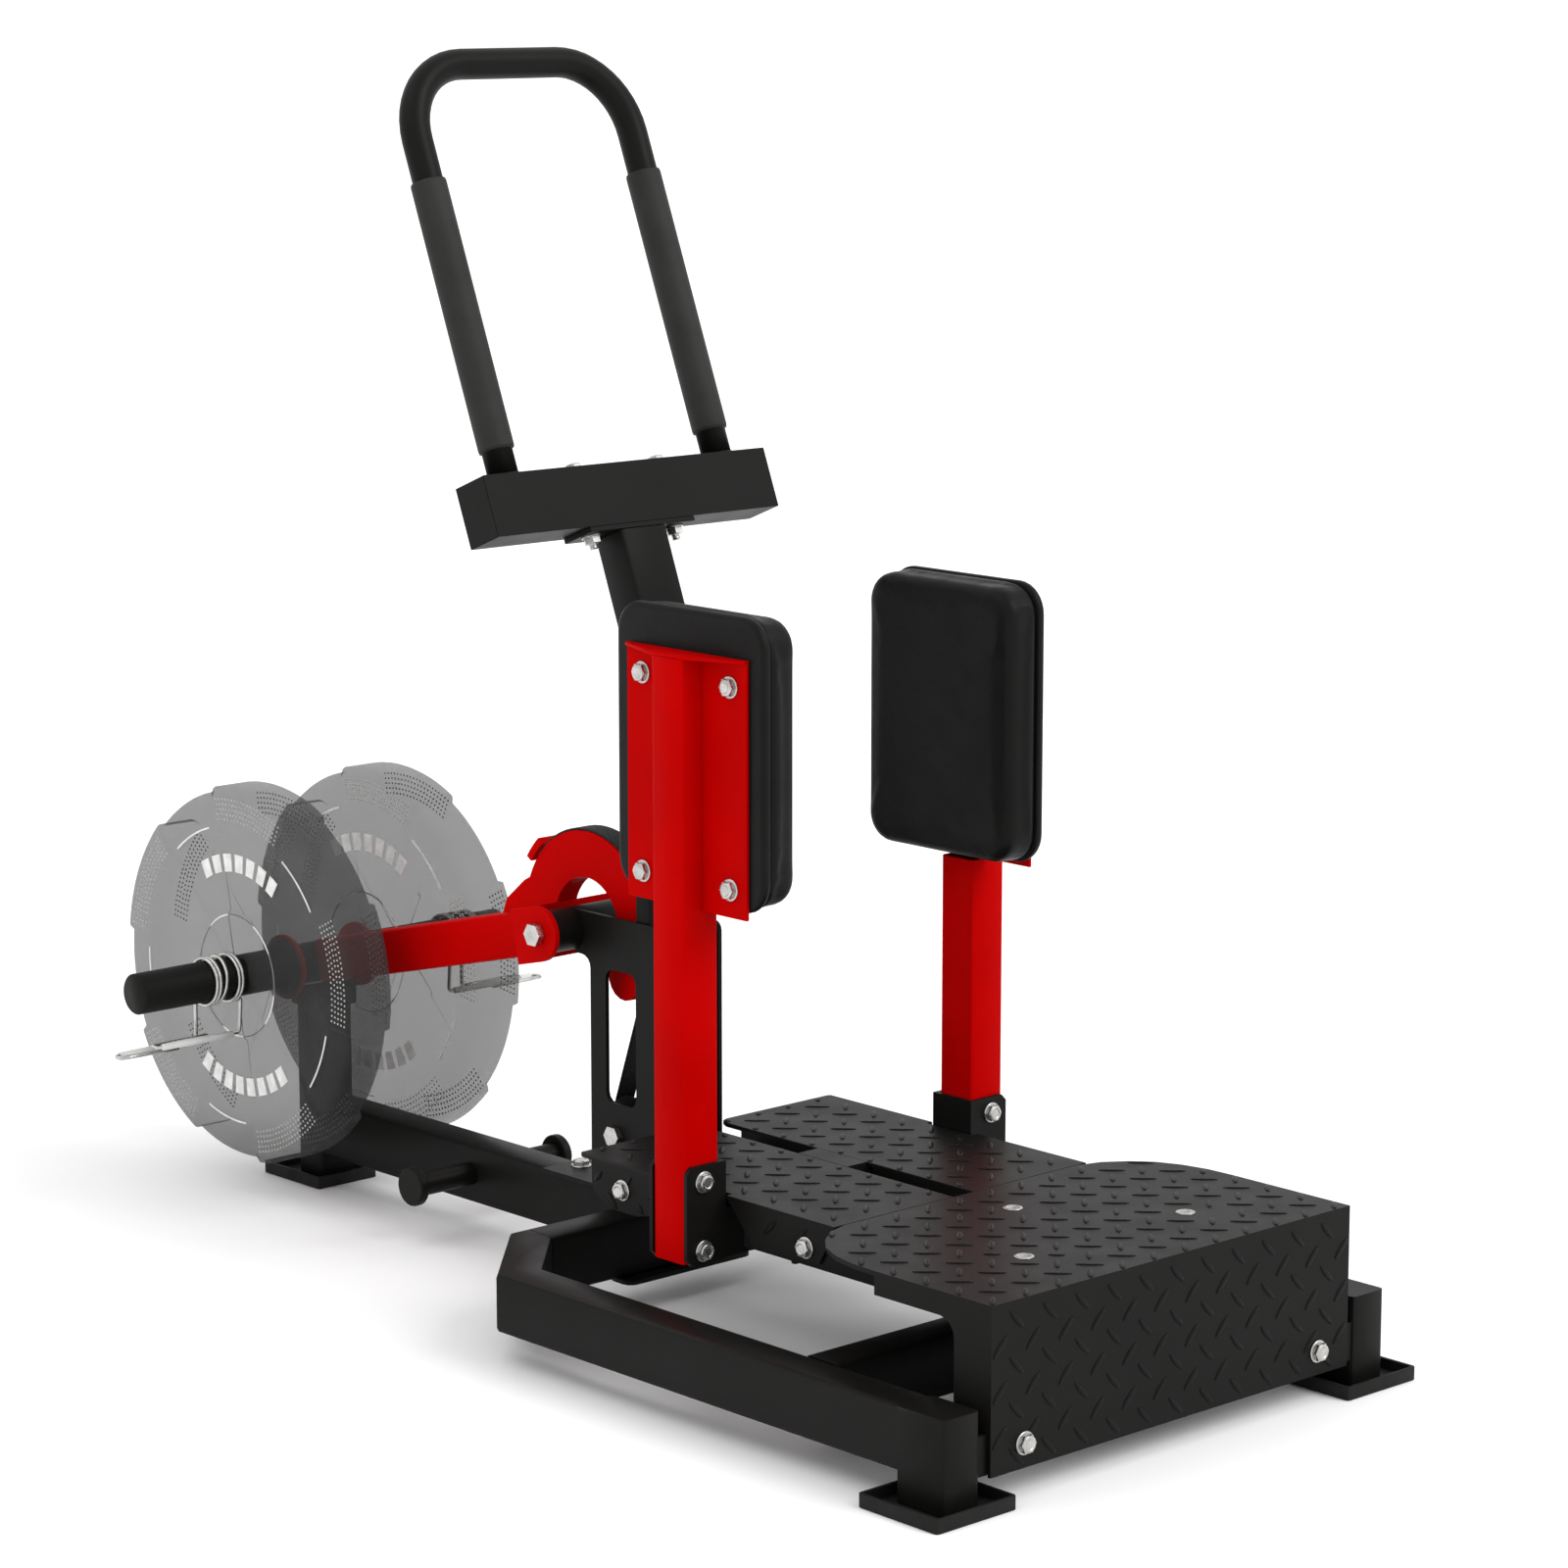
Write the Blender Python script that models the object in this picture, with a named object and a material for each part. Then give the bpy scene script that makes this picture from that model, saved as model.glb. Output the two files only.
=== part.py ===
"""Plate-loaded standing abduction machine: frame, lever, two swinging pads, strap and plates.

All dimensions are in millimetres in the constants and are written out in metres.
x is left to right seen from the riser at the front, y runs to the rear, z is up.
"""
import math

import bmesh
import bpy
from mathutils import Matrix, Vector

# ---------------------------------------------------------------- driving dimensions (mm)
SCALE = 0.001
Y_MID = 313.3
GAP = 0.3

BEAM_OUT, BEAM_IN = 330.3, 281.0
BASE_Z0, BASE_Z1 = 35.0, 103.0
BEAM_FRONT, COLUMN_REAR = -509.8, -441.3
TRAY_HEIGHT, TRAY_FLOOR = 15.0, 3.0
REAR_CROSS = (243.3, 292.3)
FRONT_CROSS = (-309.0, -259.0)
SPINE_Z0, SPINE_Z1 = 36.0, 107.0
REAR_UPRIGHT = (896.6, 946.3)

PLATFORM_TOP, SHEET = 207.0, 5.0
PLATE_HALF, PLATE_GAP = 189.5, 15.0
PLATE_FRONT, PLATE_REAR = -203.5, 206.0
COVER_FRONT, COVER_REAR, COVER_HALF = -512.0, -204.5, 268.5
RAIL_Z0, RAIL_Z1 = 155.3, 201.7

PIVOT = Vector((0.0, 397.0, 407.0))
LEVER_SLOPE = 13.86
LEVER_LENGTH = 543.8
LEVER_HEIGHT, LEVER_WIDTH = 54.0, 50.0
CAM_IN, CAM_OUT, CAM_HALF = 56.0, 110.0, 15.0
SLEEVE_HALF, SLEEVE_R = 279.5, 25.0
PLATE_IN, PLATE_OUT, PLATE_R = 68.0, 130.0, 233.0
COLLAR_LEFT, COLLAR_RIGHT = 136.0, 190.0

LOWER_PULLEY = (318.0, 177.0, 38.0)
GUIDE_PULLEY = (15.4, 112.0, 12.5)
STRAP_HALF, STRAP_THICK, STRAP_TOP = 14.0, 2.5, 129.2

UPRIGHT_HALF, UPRIGHT_FRONT, UPRIGHT_REAR = 34.2, 264.8, 315.0
KNEE_Z, TILT = 751.0, 21.7
BOX_FRONT = Vector((0.0, 337.9, 946.8))
BOX_HALF, BOX_HEIGHT, BOX_DEPTH = 208.0, 70.5, 52.8
HANDLE_HALF, HANDLE_DEPTH, HANDLE_TOP, HANDLE_BEND = 157.8, 27.0, 481.0, 88.0
GRIP_FROM, GRIP_TO, GRIP_R, BAR_R = 31.5, 345.0, 20.5, 17.5

ARM_PIVOT = Vector((60.0, 0.0, 163.0))
ARM_Z0, ARM_Z1 = 135.5, 190.0
POST_IN, POST_OUT, POST_HALF = 189.3, 239.3, 25.0
POST_BOTTOM, POST_TOP = 137.0, 787.0
PAD_PLATE_X = 212.0
PAD_PLATE_HALF, PAD_PLATE_Z = 94.0, (517.0, 790.0)
PAD_Z, PAD_HALF, PAD_FACE = (523.0, 835.0), 114.0, 154.0


def clear_scene():
    """Remove every object so the script can be run again."""
    for item in list(bpy.data.objects):
        bpy.data.objects.remove(item, do_unlink=True)


# ---------------------------------------------------------------- mesh helpers
def make_object(name, verts, faces):
    """One closed mesh from millimetre vertices, with its normals turned outwards."""
    mesh = bpy.data.meshes.new(name)
    scaled = [((v[0]) * SCALE, (v[1] - Y_MID) * SCALE, v[2] * SCALE) for v in verts]
    mesh.from_pydata(scaled, [], faces)
    work = bmesh.new()
    work.from_mesh(mesh)
    bmesh.ops.recalc_face_normals(work, faces=work.faces)
    work.to_mesh(mesh)
    work.free()
    item = bpy.data.objects.new(name, mesh)
    bpy.context.scene.collection.objects.link(item)
    return item


def boolean(target, tool, operation):
    """Apply an exact boolean to the target and drop the tool."""
    step = target.modifiers.new("boolean", "BOOLEAN")
    step.operation = operation
    step.solver = "EXACT"
    step.object = tool
    graph = bpy.context.evaluated_depsgraph_get()
    graph.update()
    result = bpy.data.meshes.new_from_object(target.evaluated_get(graph))
    target.modifiers.clear()
    target.data = result
    bpy.data.objects.remove(tool, do_unlink=True)
    return target


def join(target, *tools):
    for tool in tools:
        boolean(target, tool, "UNION")
    return target


def cut(target, *tools):
    for tool in tools:
        boolean(target, tool, "DIFFERENCE")
    return target


def to_axis(axis, first, second, along):
    """Point from two in-plane values and one along the axis."""
    if axis == "x":
        return Vector((along, first, second))
    if axis == "y":
        return Vector((first, along, second))
    return Vector((first, second, along))


def prism(name, outline, axis, low, high, matrix=None):
    """Solid between two planes across an axis, with any simple outline."""
    count = len(outline)
    verts = [to_axis(axis, a, b, low) for a, b in outline]
    verts += [to_axis(axis, a, b, high) for a, b in outline]
    if matrix is not None:
        verts = [matrix @ v for v in verts]
    faces = [tuple(range(count)), tuple(range(count, 2 * count))]
    for i in range(count):
        j = (i + 1) % count
        faces.append((i, j, count + j, count + i))
    return make_object(name, verts, faces)


def box(name, low, high, matrix=None):
    outline = [(low[0], low[1]), (high[0], low[1]), (high[0], high[1]), (low[0], high[1])]
    return prism(name, outline, "z", low[2], high[2], matrix)


def arc(centre, radius, start, end, steps):
    """Points on a circle from one angle to another, in degrees."""
    points = []
    for i in range(steps + 1):
        angle = math.radians(start + (end - start) * i / steps)
        points.append((centre[0] + radius * math.cos(angle), centre[1] + radius * math.sin(angle)))
    return points


def circle(centre, radius, sides=24):
    return arc(centre, radius, 0.0, 360.0 * (sides - 1) / sides, sides - 1)


def round_rect(half_a, half_b, radius, steps=2, centre=(0.0, 0.0)):
    """Rectangle outline with rounded corners."""
    points = []
    corners = ((1, 1, 0), (-1, 1, 90), (-1, -1, 180), (1, -1, 270))
    for sign_a, sign_b, start in corners:
        middle = (centre[0] + sign_a * (half_a - radius), centre[1] + sign_b * (half_b - radius))
        points += arc(middle, radius, start, start + 90, steps)
    return points


def lathe(name, profile, centre, axis, sides=32):
    """Closed turned body: profile is (along, radius) from one end on the axis to the other."""
    verts = []
    rings = []
    for along, radius in profile:
        if radius <= 0.0:
            verts.append(to_axis(axis, centre[0], centre[1], along))
            rings.append([len(verts) - 1])
            continue
        ring = []
        for a, b in circle(centre, radius, sides):
            verts.append(to_axis(axis, a, b, along))
            ring.append(len(verts) - 1)
        rings.append(ring)
    return make_object(name, verts, ring_faces(rings, False))


def turned_ring(name, profile, centre, axis, sides=32):
    """Closed turned body with a hole: profile is a closed loop of (along, radius)."""
    verts = []
    rings = []
    for along, radius in profile:
        ring = []
        for a, b in circle(centre, radius, sides):
            verts.append(to_axis(axis, a, b, along))
            ring.append(len(verts) - 1)
        rings.append(ring)
    return make_object(name, verts, ring_faces(rings, True))


def ring_faces(rings, closed):
    """Quads, or fans at single points, between neighbouring rings."""
    faces = []
    pairs = list(zip(rings, rings[1:]))
    if closed:
        pairs.append((rings[-1], rings[0]))
    for first, second in pairs:
        count = max(len(first), len(second))
        for i in range(count):
            j = (i + 1) % count
            if len(first) == 1:
                faces.append((first[0], second[i], second[j]))
            elif len(second) == 1:
                faces.append((first[i], first[j], second[0]))
            else:
                faces.append((first[i], first[j], second[j], second[i]))
    return faces


def sweep(name, points, normal, outer, inner=None):
    """Section swept along a flat path with mitred turns; an inner section makes it a tube."""
    normal = Vector(normal).normalized()
    path = [Vector(p) for p in points]
    frames = []
    for i, point in enumerate(path):
        before = (path[i] - path[i - 1]).normalized() if i else None
        after = (path[i + 1] - path[i]).normalized() if i < len(path) - 1 else None
        if before is None:
            frames.append((point, normal.cross(after)))
        elif after is None:
            frames.append((point, normal.cross(before)))
        else:
            tangent = (before + after).normalized()
            stretch = 1.0 / max(tangent.dot(after), 0.2)
            frames.append((point, normal.cross(tangent) * stretch))
    verts = []
    shells = []
    for section in (outer, inner):
        if section is None:
            continue
        rings = []
        for point, side in frames:
            ring = []
            for a, b in section:
                verts.append(point + side * a + normal * b)
                ring.append(len(verts) - 1)
            rings.append(ring)
        shells.append(rings)
    faces = []
    for rings in shells:
        faces += ring_faces(rings, False)
    if inner is None:
        faces += [tuple(shells[0][0]), tuple(shells[0][-1])]
    else:
        faces += ring_faces([shells[0][0], shells[1][0]], False)
        faces += ring_faces([shells[0][-1], shells[1][-1]], False)
    return make_object(name, verts, faces)


def tube(name, points, normal, half_a, half_b, wall=3.0, radius=6.0):
    """Rectangular steel tube along a flat path, open at both ends."""
    outer = round_rect(half_a, half_b, radius)
    inner = round_rect(half_a - wall, half_b - wall, radius - wall)
    return sweep(name, points, normal, outer, inner)


def wire(name, path, radius, sides=6):
    """Round wire along any path, with flat ends."""
    points = [Vector(p) for p in path]
    tangent = (points[1] - points[0]).normalized()
    side = tangent.orthogonal().normalized()
    verts = []
    rings = []
    for i, point in enumerate(points):
        ahead = points[min(i + 1, len(points) - 1)] - points[max(i - 1, 0)]
        turn = tangent.rotation_difference(ahead.normalized())
        side = turn @ side
        tangent = ahead.normalized()
        other = tangent.cross(side)
        ring = []
        for a, b in circle((0.0, 0.0), radius, sides):
            verts.append(point + side * a + other * b)
            ring.append(len(verts) - 1)
        rings.append(ring)
    faces = ring_faces(rings, False) + [tuple(rings[0]), tuple(rings[-1])]
    return make_object(name, verts, faces)


def rod(name, axis, centre, radius, low, high, sides=20):
    return prism(name, circle(centre, radius, sides), axis, low, high)


def hexagon(name, axis, centre, across, low, high):
    return prism(name, circle(centre, across / math.sqrt(3.0), 6), axis, low, high)


def paint(item, colour, metallic, roughness, alpha=1.0):
    """Give the object its own Principled material, named after it."""
    material = bpy.data.materials.new(item.name)
    material.use_nodes = True
    shader = material.node_tree.nodes["Principled BSDF"]
    shader.inputs["Base Color"].default_value = (*colour, 1.0)
    shader.inputs["Metallic"].default_value = metallic
    shader.inputs["Roughness"].default_value = roughness
    shader.inputs["Alpha"].default_value = alpha
    item.data.materials.clear()
    item.data.materials.append(material)


def set_origin(item, pivot):
    """Move the object's origin to a point on its joint axis."""
    target = Vector((pivot[0] * SCALE, (pivot[1] - Y_MID) * SCALE, pivot[2] * SCALE))
    item.data.transform(Matrix.Translation(-target))
    item.location = target


BLACK = ((0.012, 0.012, 0.011), 0.0, 0.42)
RED = ((0.55, 0.0, 0.0), 0.0, 0.25)
VINYL = ((0.016, 0.016, 0.016), 0.0, 0.45)
FOAM = ((0.014, 0.014, 0.014), 0.0, 0.85)
ZINC = ((0.62, 0.62, 0.60), 1.0, 0.3)
RUBBER = ((0.02, 0.02, 0.02), 0.0, 0.8)
WEBBING = ((0.03, 0.03, 0.03), 0.0, 0.8)
GREY_RUBBER = ((0.32, 0.32, 0.32), 0.0, 0.5, 0.75)


# ---------------------------------------------------------------- base frame
def base_beam(name, side):
    """Side beam with its mitred rear corner, front column and the lug behind the riser."""
    middle = (BEAM_OUT + BEAM_IN) / 2.0
    height = (BASE_Z0 + BASE_Z1) / 2.0
    points = [(side * middle, COLUMN_REAR - 20.0, height),
              (side * middle, 169.5, height),
              (side * (197.5 + 11.5), 268.0, height),
              (side * 197.5, 268.0, height)]
    half_width = (BEAM_OUT - BEAM_IN) / 2.0
    item = tube(name, points, (0, 0, 1), half_width, (BASE_Z1 - BASE_Z0) / 2.0)
    column = sweep(name + "_column",
                   [(side * middle, (BEAM_FRONT + COLUMN_REAR) / 2.0, TRAY_FLOOR + GAP),
                    (side * middle, (BEAM_FRONT + COLUMN_REAR) / 2.0, BASE_Z1)],
                   (0, 1, 0),
                   round_rect(half_width, (COLUMN_REAR - BEAM_FRONT) / 2.0, 5.0))
    inner = sorted((side * (BEAM_IN + 4.0), side * 200.0))
    lug = box(name + "_lug", (inner[0], -506.4, 33.0), (inner[1], -500.4, 75.0))
    join(item, column, lug)
    return item


def cross_member(name, span, half_length):
    """Straight cross tube between the side beams."""
    middle = (span[0] + span[1]) / 2.0
    height = (BASE_Z0 + BASE_Z1) / 2.0
    half_depth = (span[1] - span[0]) / 2.0
    ends = [(-half_length, middle, height), (half_length, middle, height)]
    return tube(name, ends, (0, 0, 1), half_depth, (BASE_Z1 - BASE_Z0) / 2.0)


def foot_tray(name, centre, half_x, half_y):
    """Low open tray with raised lips round the foot of a column."""
    outer = round_rect(half_x, half_y, 4.0, 2, centre)
    inner = round_rect(half_x - 4.0, half_y - 4.0, 2.0, 2, centre)
    count = len(outer)
    verts = [(a, b, 0.0) for a, b in outer]
    verts += [(a, b, TRAY_HEIGHT) for a, b in outer]
    verts += [(a, b, TRAY_HEIGHT) for a, b in inner]
    verts += [(a, b, TRAY_FLOOR) for a, b in inner]
    rings = [list(range(k * count, (k + 1) * count)) for k in range(4)]
    faces = ring_faces(rings, False) + [tuple(rings[0]), tuple(rings[3])]
    return make_object(name, verts, faces)


def build_base():
    for label, side in (("left", -1), ("right", 1)):
        paint_as(base_beam("base_beam_" + label, side), BLACK)
        tray = foot_tray("foot_tray_" + label, (side * 305.5, -475.4), 55.5, 56.0)
        paint_as(tray, RUBBER)
        peg = storage_peg("storage_peg_" + label, side)
        paint_as(peg, BLACK)
    paint_as(cross_member("rear_cross_member", REAR_CROSS, 196.9), BLACK)
    paint_as(cross_member("front_cross_member", FRONT_CROSS, BEAM_IN - GAP), BLACK)
    height = (SPINE_Z0 + SPINE_Z1) / 2.0
    spine = tube("spine_tube", [(0, REAR_CROSS[1] + GAP, height), (0, REAR_UPRIGHT[0] - GAP, height)],
                 (0, 0, 1), 25.0, (SPINE_Z1 - SPINE_Z0) / 2.0)
    paint_as(spine, BLACK)
    middle = (REAR_UPRIGHT[0] + REAR_UPRIGHT[1]) / 2.0
    upright = sweep("rear_upright", [(0, middle, TRAY_FLOOR + GAP), (0, middle, 223.0)], (0, 1, 0),
                    round_rect(25.0, 24.85, 5.0), round_rect(22.0, 21.85, 2.0))
    paint_as(upright, BLACK)
    slope = math.tan(math.radians(LEVER_SLOPE))
    half = LEVER_HEIGHT / 2.0 / math.cos(math.radians(LEVER_SLOPE))
    front_z = PIVOT.z - (893.0 - PIVOT.y) * slope - half - GAP
    rear_z = PIVOT.z - (950.0 - PIVOT.y) * slope - half - GAP
    outline = [(893.0, 223.0 + GAP), (950.0, 223.0 + GAP), (950.0, rear_z), (893.0, front_z)]
    paint_as(prism("lever_stop", outline, "x", -29.0, 29.0), RUBBER)
    paint_as(foot_tray("rear_foot_tray", (0.0, 935.7), 45.3, 57.1), RUBBER)
    strip = round_rect(94.0, 20.0, 12.0, 3, (-4.0, 248.0))
    paint_as(prism("floor_strip", strip, "z", 29.0, 34.7), BLACK)


def storage_peg(name, side):
    """Short accessory peg with an end disc on the spine's side."""
    profile = [(25.0 + GAP, 0.0), (25.0 + GAP, 14.0), (104.0, 14.0), (104.0, 22.0),
               (106.0, 23.5), (114.0, 23.5), (116.0, 22.0), (116.0, 0.0)]
    return lathe(name, [(side * a, r) for a, r in profile], (605.0, 72.0), "x", 24)


def paint_as(item, look):
    paint(item, *look)
    return item


# ---------------------------------------------------------------- tower and handle
def tower_plate(name, side):
    """Side plate of the tower with its window, notch and axle hole."""
    outline = [(225.0, 112.6), (362.0, 112.6), (362.0, 366.0)]
    outline += arc((376.0, 366.0), 14.0, 180.0, 90.0, 4)
    outline += [(389.0, 380.5)]
    outline += arc((PIVOT.y, PIVOT.z), 24.9, 255.0, 105.0, 14)
    outline += [(386.0, 431.0), (236.0, 431.0)]
    outline += arc((236.0, 420.0), 11.0, 90.0, 180.0, 4)
    low, high = sorted((side * (UPRIGHT_HALF + GAP), side * 39.8))
    item = prism(name, outline, "x", low, high)
    window = prism(name + "_window", round_rect(26.0, 78.0, 12.0, 3, (309.0, 292.0)), "x", -60, 60)
    hole = rod(name + "_hole", "x", LOWER_PULLEY[:2], 8.4, -60, 60)
    return cut(item, window, hole)


def tilted(x, height, depth):
    """Point in the leaning frame of the handle box."""
    angle = math.radians(TILT)
    up = Vector((0.0, math.sin(angle), math.cos(angle)))
    back = Vector((0.0, math.cos(angle), -math.sin(angle)))
    return BOX_FRONT + Vector((x, 0.0, 0.0)) + up * height + back * depth


def main_upright():
    """Vertical tube with a leaning upper part, opened at the rear for the cam and pulley."""
    depth = (UPRIGHT_REAR - UPRIGHT_FRONT) / 2.0
    middle = (UPRIGHT_FRONT + UPRIGHT_REAR) / 2.0
    knee_z = KNEE_Z + depth * math.tan(math.radians(TILT / 2.0))
    top = tilted(0.0, -BOX_HEIGHT - 6.0 - GAP, 25.0)
    item = sweep("main_upright", [(0, middle, 112.6), (0, middle, knee_z), top], (1, 0, 0),
                 round_rect(depth, UPRIGHT_HALF, 6.0), round_rect(depth - 3.0, UPRIGHT_HALF - 3.0, 3.0))
    opening = box("opening", (-50, 288.0, 130.0), (50, 330.0, 512.0))
    slot = box("slot", (-17.0, 250.0, 100.0), (17.0, 280.0, 150.0))
    return cut(item, opening, slot)


def leaning_box(name, half_x, low, high, front, rear):
    """Box in the leaning frame of the handle."""
    verts = []
    for height in (low, high):
        for x, depth in ((-half_x, front), (half_x, front), (half_x, rear), (-half_x, rear)):
            verts.append(tilted(x, height, depth))
    faces = [(0, 1, 2, 3), (4, 5, 6, 7), (0, 1, 5, 4), (1, 2, 6, 5), (2, 3, 7, 6), (3, 0, 4, 7)]
    return make_object(name, verts, faces)


def handle_bar():
    """Closed-top U of round tube standing on the handle box."""
    corner = HANDLE_HALF - HANDLE_BEND
    height = HANDLE_TOP - HANDLE_BEND
    flat = [(-HANDLE_HALF, GAP)]
    flat += arc((-corner, height), HANDLE_BEND, 180.0, 90.0, 8)
    flat += arc((corner, height), HANDLE_BEND, 90.0, 0.0, 8)
    flat += [(HANDLE_HALF, GAP)]
    points = [tilted(x, rise, HANDLE_DEPTH) for x, rise in flat]
    across = tilted(0.0, 0.0, 1.0) - tilted(0.0, 0.0, 0.0)
    return sweep("handle_bar", points, across, circle((0, 0), BAR_R, 16), circle((0, 0), BAR_R - 2.5, 16))


def foam_grip(name, side):
    """Foam sleeve on one leg of the handle."""
    ends = [tilted(side * HANDLE_HALF, h, HANDLE_DEPTH) for h in (GRIP_FROM, GRIP_TO)]
    return sweep(name, ends, (1, 0, 0), circle((0, 0), GRIP_R, 20), circle((0, 0), BAR_R + GAP, 20))


def build_tower():
    base = box("tower_base_plate", (-40.0, 262.0, 107.3), (40.0, 452.0, 112.3))
    paint_as(base, BLACK)
    for label, side in (("left", -1), ("right", 1)):
        paint_as(tower_plate("tower_plate_" + label, side), BLACK)
        paint_as(foam_grip("foam_grip_" + label, side), FOAM)
    paint_as(main_upright(), BLACK)
    mount = leaning_box("handle_mount_plate", 77.0, -BOX_HEIGHT - 6.0, -BOX_HEIGHT - GAP, 0.0, 50.0)
    paint_as(mount, BLACK)
    paint_as(leaning_box("handle_cross_box", BOX_HALF, -BOX_HEIGHT, 0.0, 0.0, BOX_DEPTH), BLACK)
    paint_as(handle_bar(), BLACK)
    centre = (PIVOT.y, PIVOT.z)
    tube_ring = [(-81.7, 24.5), (81.7, 24.5), (81.7, 8.3), (-81.7, 8.3)]
    paint_as(turned_ring("pivot_tube", tube_ring, centre, "x", 28), BLACK)
    paint_as(bolt("pivot_axle", centre, 8.0, 88.4, 98.0, 24.0), ZINC)
    paint_as(bolt("lower_pulley_axle", LOWER_PULLEY[:2], 8.0, 40.1, 49.0, 22.0), ZINC)
    paint_as(pulley("lower_pulley", LOWER_PULLEY, 8.3), BLACK)
    paint_as(pulley("guide_pulley", GUIDE_PULLEY, 5.3), BLACK)


def bolt(name, centre, radius, inside, outside, across):
    """Through bolt along x with a hexagon at each end."""
    shank = rod(name, "x", centre, radius, -inside - 1.0, inside + 1.0, 24)
    left = hexagon(name + "_left", "x", centre, across, -outside, -inside)
    right = hexagon(name + "_right", "x", centre, across, inside, outside)
    return join(shank, left, right)


def pulley(name, place, bore):
    """Flat-tread pulley with low side flanges."""
    radius = place[2]
    profile = [(-17.0, bore), (-17.0, radius + 4.0), (-15.0, radius + 4.0), (-15.0, radius),
               (15.0, radius), (15.0, radius + 4.0), (17.0, radius + 4.0), (17.0, bore)]
    item = turned_ring(name, profile, place[:2], "x", 28)
    set_origin(item, (0.0, place[0], place[1]))
    return item


# ---------------------------------------------------------------- lever
def lever_matrix():
    """Frame with y along the sloping lever and its origin on the pivot axis."""
    return Matrix.Translation(PIVOT) @ Matrix.Rotation(math.radians(-LEVER_SLOPE), 4, "X")


def lever_fork():
    """Two cheeks on the pivot joined by a cross plate at their rear."""
    frame = lever_matrix()
    outline = [(44.0, -32.0), (44.0, 32.0)] + arc((0.0, 0.0), 32.0, 90.0, 270.0, 12)
    cheeks = []
    for side in (-1, 1):
        low, high = sorted((side * 82.0, side * 88.0))
        cheek = prism("cheek", outline, "x", low, high, frame)
        hole = rod("cheek_hole", "x", (PIVOT.y, PIVOT.z), 8.4, low - 5.0, high + 5.0, 24)
        cheeks.append(cut(cheek, hole))
    plate = box("lever_fork", (-85.0, 38.0, -31.0), (85.0, 43.7, 31.0), frame)
    return join(plate, cheeks[0], cheeks[1])


def lever_cam():
    """Cam sector over the pivot with a tail standing on the lever tube."""
    frame = lever_matrix()
    top = LEVER_HEIGHT / 2.0 + GAP
    outline = arc((0.0, 0.0), CAM_OUT, 36.0, 232.0, 34)
    outline += arc((-51.1, -65.4), 27.0, 240.0, 400.0, 8)[1:-1]
    outline += arc((0.0, 0.0), CAM_IN, 230.0, 30.0, 24)
    outline += [(49.0, top), (150.0, top), (138.0, 44.0), (100.0, 62.0)]
    return prism("lever_cam", outline, "x", -CAM_HALF, CAM_HALF, frame)


def strap_clamp():
    """Small bridge that holds the strap's end on the cam."""
    frame = lever_matrix()
    inner = CAM_OUT + STRAP_THICK + 2.0 * GAP
    outline = arc((0.0, 0.0), inner, 47.0, 62.0, 4) + arc((0.0, 0.0), inner + 9.0, 62.0, 47.0, 4)
    return prism("strap_clamp", outline, "x", -19.0, 19.0, frame)


def weight_sleeve():
    """Plain loading sleeve with a flange and a tapered collar on each side."""
    centre_y = PIVOT.y + LEVER_LENGTH * math.cos(math.radians(LEVER_SLOPE))
    centre_z = PIVOT.z - LEVER_LENGTH * math.sin(math.radians(LEVER_SLOPE))
    half = [(0.0, SLEEVE_R), (53.0, SLEEVE_R), (53.0, 40.0), (58.5, 40.0), (58.5, 36.0),
            (67.0, 31.0), (67.0, SLEEVE_R), (SLEEVE_HALF - 2.0, SLEEVE_R),
            (SLEEVE_HALF, SLEEVE_R - 2.0), (SLEEVE_HALF, 0.0)]
    profile = [(-a, r) for a, r in reversed(half)] + half[1:]
    return lathe("weight_sleeve", profile, (centre_y, centre_z), "x", 32)


def sleeve_centre():
    angle = math.radians(LEVER_SLOPE)
    return (PIVOT.y + LEVER_LENGTH * math.cos(angle), PIVOT.z - LEVER_LENGTH * math.sin(angle))


def weight_plate(name, side):
    """Removable plate: flat web, thicker rim and a hub round the sleeve."""
    profile = [(PLATE_IN, SLEEVE_R + GAP), (PLATE_IN, 78.0), (PLATE_IN + 5.0, 82.0),
               (PLATE_IN + 5.0, 176.0), (PLATE_IN, 182.0), (PLATE_IN, PLATE_R - 8.0),
               (PLATE_IN + 6.0, PLATE_R), (PLATE_OUT - 6.0, PLATE_R), (PLATE_OUT, PLATE_R - 8.0),
               (PLATE_OUT, 182.0), (PLATE_OUT - 5.0, 176.0), (PLATE_OUT - 5.0, 82.0),
               (PLATE_OUT, 78.0), (PLATE_OUT, SLEEVE_R + GAP)]
    return turned_ring(name, [(side * a, r) for a, r in profile], sleeve_centre(), "x", 48)


def spring_collar(name, side):
    """Coiled wire collar: each end runs down and out along the sleeve as a squeeze handle."""
    centre_y, centre_z = sleeve_centre()
    start = COLLAR_RIGHT if side > 0 else COLLAR_LEFT
    radius = SLEEVE_R + GAP + 3.3
    path = [(38.0, 2.0, -68.0), (118.0, 2.0, -68.0), (121.0, -5.0, -68.0), (118.0, -12.0, -68.0),
            (3.0, -12.0, -68.0), (0.0, -13.0, -64.0), (0.0, -15.0, -42.0)]
    turns, steps = 4.19, 84
    for i in range(steps + 1):
        angle = math.radians(-125.0 + 360.0 * turns * i / steps)
        path.append((44.0 * i / steps, radius * math.cos(angle), radius * math.sin(angle)))
    path += [(44.0, 16.0, -44.0), (44.0, 16.0, -72.0), (47.0, 16.0, -76.0), (162.0, 16.0, -76.0),
             (165.0, 8.0, -76.0), (162.0, 0.0, -76.0), (82.0, 0.0, -76.0)]
    points = [(side * (start + x), centre_y + y, centre_z + z) for x, y, z in path]
    return wire(name, points, 2.6, 6)


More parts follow.
